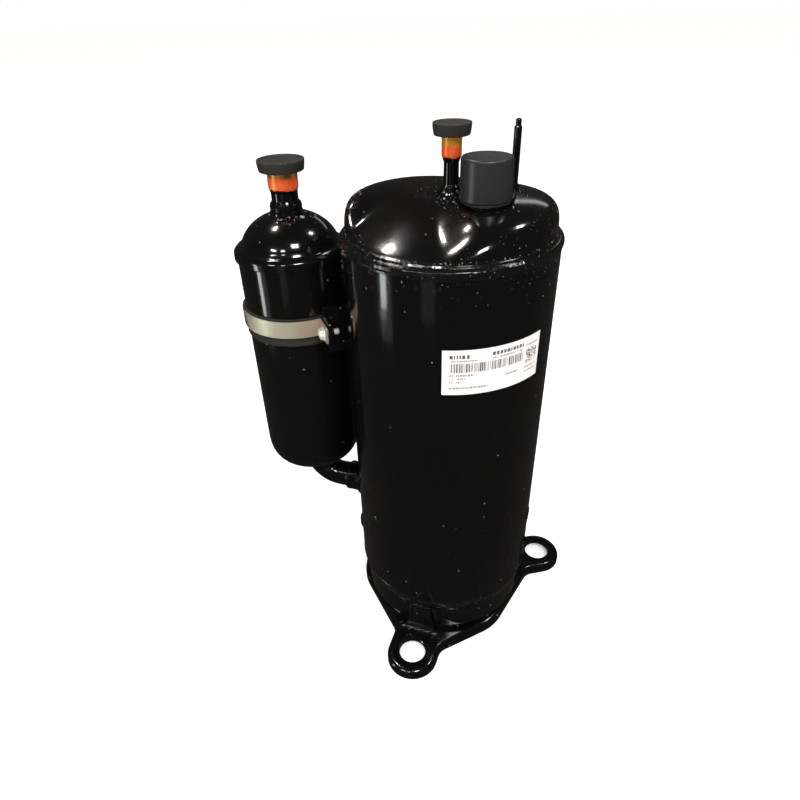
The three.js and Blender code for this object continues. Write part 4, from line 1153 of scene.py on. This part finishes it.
def bracket_skin():
    """The bracket welded to the shell: a channel whose web cradles the can, with an ear for the screw."""
    path = bracket_path()
    rings = []
    for i, point in enumerate(path):
        ahead = (path[min(i + 1, len(path) - 1)] - path[max(i - 1, 0)]).normalized()
        side = Vector((ahead.y, -ahead.x, 0))
        half = BRACKET_SHEET / 2
        section = rounded([(-half, BRACKET_LOW, 0.4), (half, BRACKET_LOW, 0.4), (half, BRACKET_HIGH, 0.4),
                           (-half, BRACKET_HIGH, 0.4)], 2, closed=True)
        rings.append([point + side * a + Vector((0, 0, z)) for a, z in section])
    root = LUG_Y - 0.8
    ear = round_plate([(root, BRACKET_HIGH - 0.3, 1.0), (root - 5, BRACKET_HIGH - 1.5, 3),
                       (LUG_END, BAND_HIGH + 2, 4), (LUG_END, BAND_LOW, 4), (root - 9, BRACKET_LOW + 2, 5),
                       (root, BRACKET_LOW + 0.3, 4)])
    catch = round_plate([(REAR_Y + 1.6, BAND_LOW, 0.5), (REAR_Y + 8, BAND_LOW, 1.5),
                         (REAR_Y + 8, BAND_HIGH, 1.5), (REAR_Y + 1.6, BAND_HIGH, 0.5)])
    side_x = (BAND_INNER + 1) * math.cos(CRADLE_END)
    side_y = (BAND_INNER + 1) * math.sin(CRADLE_END)
    hook = [(REAR_X + 0.3, REAR_Y + 1.6), (side_x + 1.5, REAR_Y + 1.6), (side_x + 1.5, side_y - 0.5),
            (side_x - 0.5, side_y - 0.5), (side_x - 0.5, REAR_Y + 3.6), (REAR_X + 0.3, REAR_Y + 3.6)]
    rise = [[ABOUT_CAN @ Vector((x, y, z)) for x, y in hook] for z in (BAND_LOW, BAND_HIGH)]
    return together(loft(rings, ends=True), extruded_outline(ear, EAR_THICKNESS, TO_CLAMP @ facing_x(EAR_X)),
                    extruded_outline(catch, 2.0, ABOUT_CAN @ facing_x(REAR_X + 0.3)), loft(rise, ends=True))


piece("accumulator_bracket_skin", bracket_skin(), SHEET_PAINT, replaces=["accumulator_bracket"], crease=45)


def bracket_welds():
    """Upright runs of weld where the bracket's sides meet the shell."""
    runs = []
    for side in (-1, 1):
        y = side * (BRACKET_SPREAD + 1.2)
        x = -math.sqrt(SHELL_RADIUS ** 2 - y * y) - 0.2
        height = BRACKET_HIGH - BRACKET_LOW - 3
        path = [Vector((x, y, BRACKET_LOW + 1.5 + height * i / 80)) for i in range(81)]
        runs.append(bead(path, 1.5, 90 + side))
    return together(*runs)


piece("bracket_welds", bracket_welds(), WELD, crease=80)


def along_screw(corners, segments):
    """A profile of (radius, x) turned about the clamp screw's axis."""
    spin = Matrix.Rotation(math.pi / 2, 4, "Y")
    onto_axis = TO_CLAMP @ Matrix.Translation((0, -SCREW_REACH, BAND_MIDDLE))
    return moved(turned(corners, segments), onto_axis @ spin)


def hexagon(sections, closed=False):
    """A hexagonal prism along the screw, from its sections as (x, radius)."""
    rings = []
    for x, radius in sections:
        rings.append([TO_CLAMP @ Vector((x, a - SCREW_REACH, b + BAND_MIDDLE)) for a, b in circle(radius, 6)])
    return loft(rings, along_closed=closed)


def screw_skin():
    """A flanged hexagon screw: a dished head, a washer face and a threaded shank."""
    head_low, head_high = LUG_X - 5.0, LUG_X - 1.5
    pitch = 0.8
    crest, root = 2.3, 1.95
    start, end = LUG_X - 1.2, NUT_X + NUT_THICKNESS + 4.2
    steps = int((end - start) / pitch) * 2
    thread = [(crest if k % 2 else root, start + pitch / 2 * k) for k in range(1, steps)]
    shank = along_screw([(0, start), (crest, start), *thread, (1.9, end - 0.3), (1.5, end), (0, end)], 24)
    flange = along_screw([(0, head_high - 1.1), (4.6, head_high - 1.1), (5.4, head_high - 0.5),
                          (5.4, head_high), (0, head_high)], 40)
    head = hexagon([(head_low + 0.8, 0), (head_low + 0.6, 2.2), (head_low, 3.1), (head_low + 0.7, 4.3),
                    (head_high - 0.8, 4.3), (head_high - 0.8, 0)])
    return together(head, flange, shank)


piece("clamp_screw_skin", screw_skin(), ZINC, replaces=["clamp_screw"], crease=28)


def nut_skin():
    """The weld nut behind the ear, painted with it."""
    high = NUT_X + NUT_THICKNESS
    return hexagon([(NUT_X, 2.5), (NUT_X, 4.0), (high - 0.5, 4.0), (high, 3.5), (high, 2.5)], closed=True)


piece("clamp_nut_skin", nut_skin(), SHEET_PAINT, replaces=["clamp_nut"], crease=28)

# ---- Nameplate ----
LABEL_START = math.radians(-90 + 12)
LABEL_END = math.radians(-90 + 67.7)
LABEL_LOW = extent("nameplate")[0].z
LABEL_HIGH = extent("nameplate")[1].z
LABEL_RADIUS = SHELL_RADIUS + 0.3
LABEL_FACE = LABEL_RADIUS + 0.25      # its printed side
LABEL_WIDE = (LABEL_END - LABEL_START) * SHELL_RADIUS
LABEL_TALL = LABEL_HIGH - LABEL_LOW


def wrapped(left, right, low, high, inner, outer):
    """A block laid on the shell: left and right are distances along the label, low and high are up it."""
    steps = max(int((right - left) / 1.2), 1)
    corners = [(inner, low), (outer, low), (outer, high), (inner, high)]
    rings = []
    for i in range(steps + 1):
        angle = LABEL_START + (left + (right - left) * i / steps) / SHELL_RADIUS
        rings.append([polar(r, angle, LABEL_LOW + z) for r, z in corners])
    return loft(rings, ends=True)


piece("nameplate_skin", wrapped(0, LABEL_WIDE, 0, LABEL_TALL, LABEL_RADIUS, LABEL_FACE), LABEL,
      replaces=["nameplate"], crease=40)


def printed(rectangles):
    return together(*[wrapped(a, b, c, d, LABEL_FACE - 0.05, LABEL_FACE + 0.03) for a, b, c, d in rectangles])


def line_of_marks(left, right, low, high, chance, roll):
    """A line of short upright strokes of uneven width that reads as small print, but spells nothing."""
    marks = []
    x = left
    while x < right:
        width = roll.uniform(0.3, 0.9) * (high - low)
        if roll.random() > chance:
            marks.append((x, min(x + width, right), low, high))
        x += width + roll.uniform(0.22, 0.4) * (high - low)
    return marks


# Lines of small print on the label: left, right, low and high in mm, and the chance that a stroke is left out.
DARK_LINES = [(4.6, 18.0, 26.0, 28.6, 0.0), (29.0, 55.0, 26.4, 28.8, 0.04)]
FAINT_LINES = [(4.6, 22.5, 23.8, 25.0, 0.1), (32.0, 54.0, 24.0, 25.2, 0.25), (4.6, 19.5, 13.4, 14.9, 0.05),
               (4.6, 14.5, 11.0, 12.3, 0.1), (4.6, 13.0, 8.6, 9.9, 0.15), (4.6, 29.5, 4.2, 5.7, 0.05),
               (42.0, 51.5, 9.6, 11.0, 0.2), (57.5, 68.5, 25.6, 26.8, 0.05), (57.5, 68.5, 9.6, 10.8, 0.05),
               (57.5, 68.5, 6.4, 7.6, 0.05)]


def label_print():
    """Generic print: a bar strip, rows of small marks and a square of cells."""
    roll = random.Random(41)
    dark, faint = [], []
    x = 5.5
    while x < 55.5:
        width = roll.choice((0.28, 0.28, 0.45, 0.7, 1.0))
        dark.append((x, x + width, 16.2, 22.6))
        x += width + roll.choice((0.3, 0.42, 0.6, 0.9))
    for line in DARK_LINES:
        dark += line_of_marks(*line, roll)
    for line in FAINT_LINES:
        faint += line_of_marks(*line, roll)
    cells = 15
    size = 10.2 / cells
    for row in range(cells):
        for column in range(cells):
            if roll.random() < 0.5:
                left, low = 58.0 + column * size, 13.0 + row * size
                dark.append((left, left + size, low, low + size))
    return printed(dark), printed(faint)


dark_print, faint_print = label_print()
piece("nameplate_print", dark_print, PRINT)
piece("nameplate_fine_print", faint_print, FAINT_PRINT)


# ---- Spatter and dust ----
def spatter():
    """Beads of weld metal and dust, thickest by the top weld, on the clamp's side and at the tubes' roots."""
    roll = random.Random(7)
    spots = []

    def size():
        return 0.13 + 0.25 * roll.random() ** 3

    def on_side(heading, height, radius=SHELL_RADIUS):
        out = polar(1, heading, 0)
        spots.append((out * radius + Vector((0, 0, height)), out, size()))

    def on_cap(x, y):
        spots.append((Vector((x, y, cap_height(x, y))), cap_normal(x, y), size()))

    for _ in range(330):
        on_side(roll.uniform(0, TAU), SHELL_HIGH - 8.5 - 20 * roll.random() ** 2.2)
    for _ in range(330):
        heading = roll.uniform(0, TAU)
        on_side(heading, SHELL_HIGH + 1.5 + 1.2 * roll.random(), CAP_RADIUS)
        reach = CAP_RADIUS * (1 - 0.10 * roll.random() ** 2)
        on_cap(reach * math.cos(heading), reach * math.sin(heading))
    for _ in range(260):
        heading = math.radians(roll.gauss(188, 14))
        on_side(heading, SHELL_HIGH - 8 - 16 * roll.random())
        reach = CAP_RADIUS * roll.uniform(0.86, 1.0)
        on_cap(reach * math.cos(heading), reach * math.sin(heading))
    for centre, count, near, far in ((Vector((0, 0)), 190, 8.5, 24), (PROCESS_AXIS.xy, 70, 4.5, 14),
                                     (COVER_AXIS.xy, 110, 17, 24)):
        for _ in range(count):
            away = near + (far - near) * roll.random() ** 1.6
            heading = roll.uniform(0, TAU)
            on_cap(centre.x + away * math.cos(heading), centre.y + away * math.sin(heading))
    for _ in range(110):
        on_side(roll.uniform(0, TAU), roll.uniform(60, 310))
    return dots(spots)


piece("weld_spatter", spatter(), SPATTER, crease=80)


def neck_spatter():
    """The same round the accumulator's neck and on its dome."""
    roll = random.Random(19)
    spots = []
    for _ in range(190):
        reach = 12.6 + 12 * roll.random() ** 1.5
        heading = roll.uniform(0, TAU)
        rise = DOME_TOP - DOME_CENTRE
        height = DOME_CENTRE + rise * math.sqrt(1 - (reach / DOME_RADIUS) ** 2)
        normal = polar(reach / DOME_RADIUS ** 2, heading, (height - DOME_CENTRE) / rise ** 2)
        place = polar(reach, heading, height) + Vector((CAN_AXIS.x, 0, 0))
        spots.append((place, normal.normalized(), 0.14 + 0.25 * roll.random() ** 3))
    for _ in range(60):
        heading = roll.uniform(0, TAU)
        out = polar(1, heading, 0)
        place = out * CAN_RADIUS + Vector((CAN_AXIS.x, 0, roll.uniform(150, 302)))
        spots.append((place, out, 0.14 + 0.2 * roll.random() ** 3))
    return dots(spots)


piece("accumulator_spatter", neck_spatter(), SPATTER, crease=80)


# ---- Floor and light ----
def make_floor():
    size = 60.0
    mesh = bpy.data.meshes.new("floor")
    z = BASE_LOW * MM
    corners = [(-size, -size, z), (size, -size, z), (size, size, z), (-size, size, z)]
    mesh.from_pydata(corners, [], [(0, 1, 2, 3)])
    floor = bpy.data.objects.new("floor", mesh)
    bpy.context.scene.collection.objects.link(floor)
    look = Look("floor_white")
    shade = look.mix(look.noise(3, 2), grey(0.93), grey(0.95))
    look.drive("Base Color", shade)
    look.drive("Emission Color", shade)
    look.shader.inputs["Emission Strength"].default_value = 0.38
    look.shader.inputs["Roughness"].default_value = 0.9
    mesh.materials.append(look.material)
    floor.visible_glossy = False


make_floor()


def make_lamp(name, place, target, width, height, power, tint=(1, 1, 1)):
    """A soft box at a place in mm that faces a target."""
    data = bpy.data.lights.new(name, "AREA")
    data.shape = "RECTANGLE"
    data.size = width * MM
    data.size_y = height * MM
    data.energy = power
    data.color = tint
    lamp = bpy.data.objects.new(name, data)
    lamp.location = Vector(place) * MM
    lamp.rotation_mode = "QUATERNION"
    lamp.rotation_quaternion = (Vector(target) - Vector(place)).to_track_quat("-Z", "Y")
    bpy.context.scene.collection.objects.link(lamp)


PART_CENTRE = Vector((-40, 0, 250))
SKY_SOFT = 0.75
SKY_GLOSS = 0.035


def lamp_towards(name, azimuth, elevation, reach, width, height, power, tint=(1, 1, 1)):
    """A soft box seen from the part in a direction: azimuth from -Y towards +X, both in degrees."""
    heading = math.radians(azimuth - 90)
    rise = math.radians(elevation)
    away = polar(math.cos(rise), heading, math.sin(rise)) * reach
    make_lamp(name, PART_CENTRE + away, PART_CENTRE, width, height, power, tint)


lamp_towards("ceiling_back", -98, 63, 1500, 190, 80, 7, (1.0, 0.97, 0.92))
lamp_towards("ceiling_side", -128, 56, 1500, 130, 50, 2.0, (1.0, 0.97, 0.92))
lamp_towards("window_front", 37, 50, 1500, 330, 260, 13, (1.0, 0.98, 0.95))
make_lamp("strip_left", (-450, -390, 170), (-30, 0, 230), 130, 330, 0.045, (0.90, 0.96, 0.92))
make_lamp("strip_front", (-60, -700, 200), (0, 0, 220), 160, 420, 0.035)
lamp_towards("cover_side", -52, -8, 900, 110, 420, 1.0, (0.95, 1.0, 0.97))
lamp_towards("cover_edge", 4, 36, 1500, 140, 80, 2.5)
lamp_towards("softbox_low_left", -20, 34, 1700, 300, 110, 5)
lamp_towards("rim_right", 127, 58, 1500, 150, 150, 3.5)
lamp_towards("back_glow", 178, 24, 1700, 700, 120, 0.35)
lamp_towards("cover_glow", -164, 42, 1500, 120, 120, 0.25)


def make_world():
    """White to the eye, soft on matt surfaces, and dim in reflections, as in a darkened studio."""
    world = bpy.data.worlds.new("studio")
    world.use_nodes = True
    tree = world.node_tree
    tree.nodes.clear()
    ray = tree.nodes.new("ShaderNodeLightPath")
    out = tree.nodes.new("ShaderNodeOutputWorld")
    before = None
    skies = [(None, (1.0, 0.99, 0.98, 1), SKY_SOFT), ("Is Glossy Ray", (1.0, 0.95, 0.88, 1), SKY_GLOSS),
             ("Is Camera Ray", (1, 1, 1, 1), 1.0)]
    for flag, tint, strength in skies:
        sky = tree.nodes.new("ShaderNodeBackground")
        sky.inputs["Color"].default_value = tint
        sky.inputs["Strength"].default_value = strength
        if flag is None:
            before = sky
            continue
        choose = tree.nodes.new("ShaderNodeMixShader")
        tree.links.new(ray.outputs[flag], choose.inputs[0])
        tree.links.new(before.outputs[0], choose.inputs[1])
        tree.links.new(sky.outputs[0], choose.inputs[2])
        before = choose
    tree.links.new(before.outputs[0], out.inputs["Surface"])
    bpy.context.scene.world = world


make_world()
bpy.context.scene.view_settings.view_transform = "Standard"
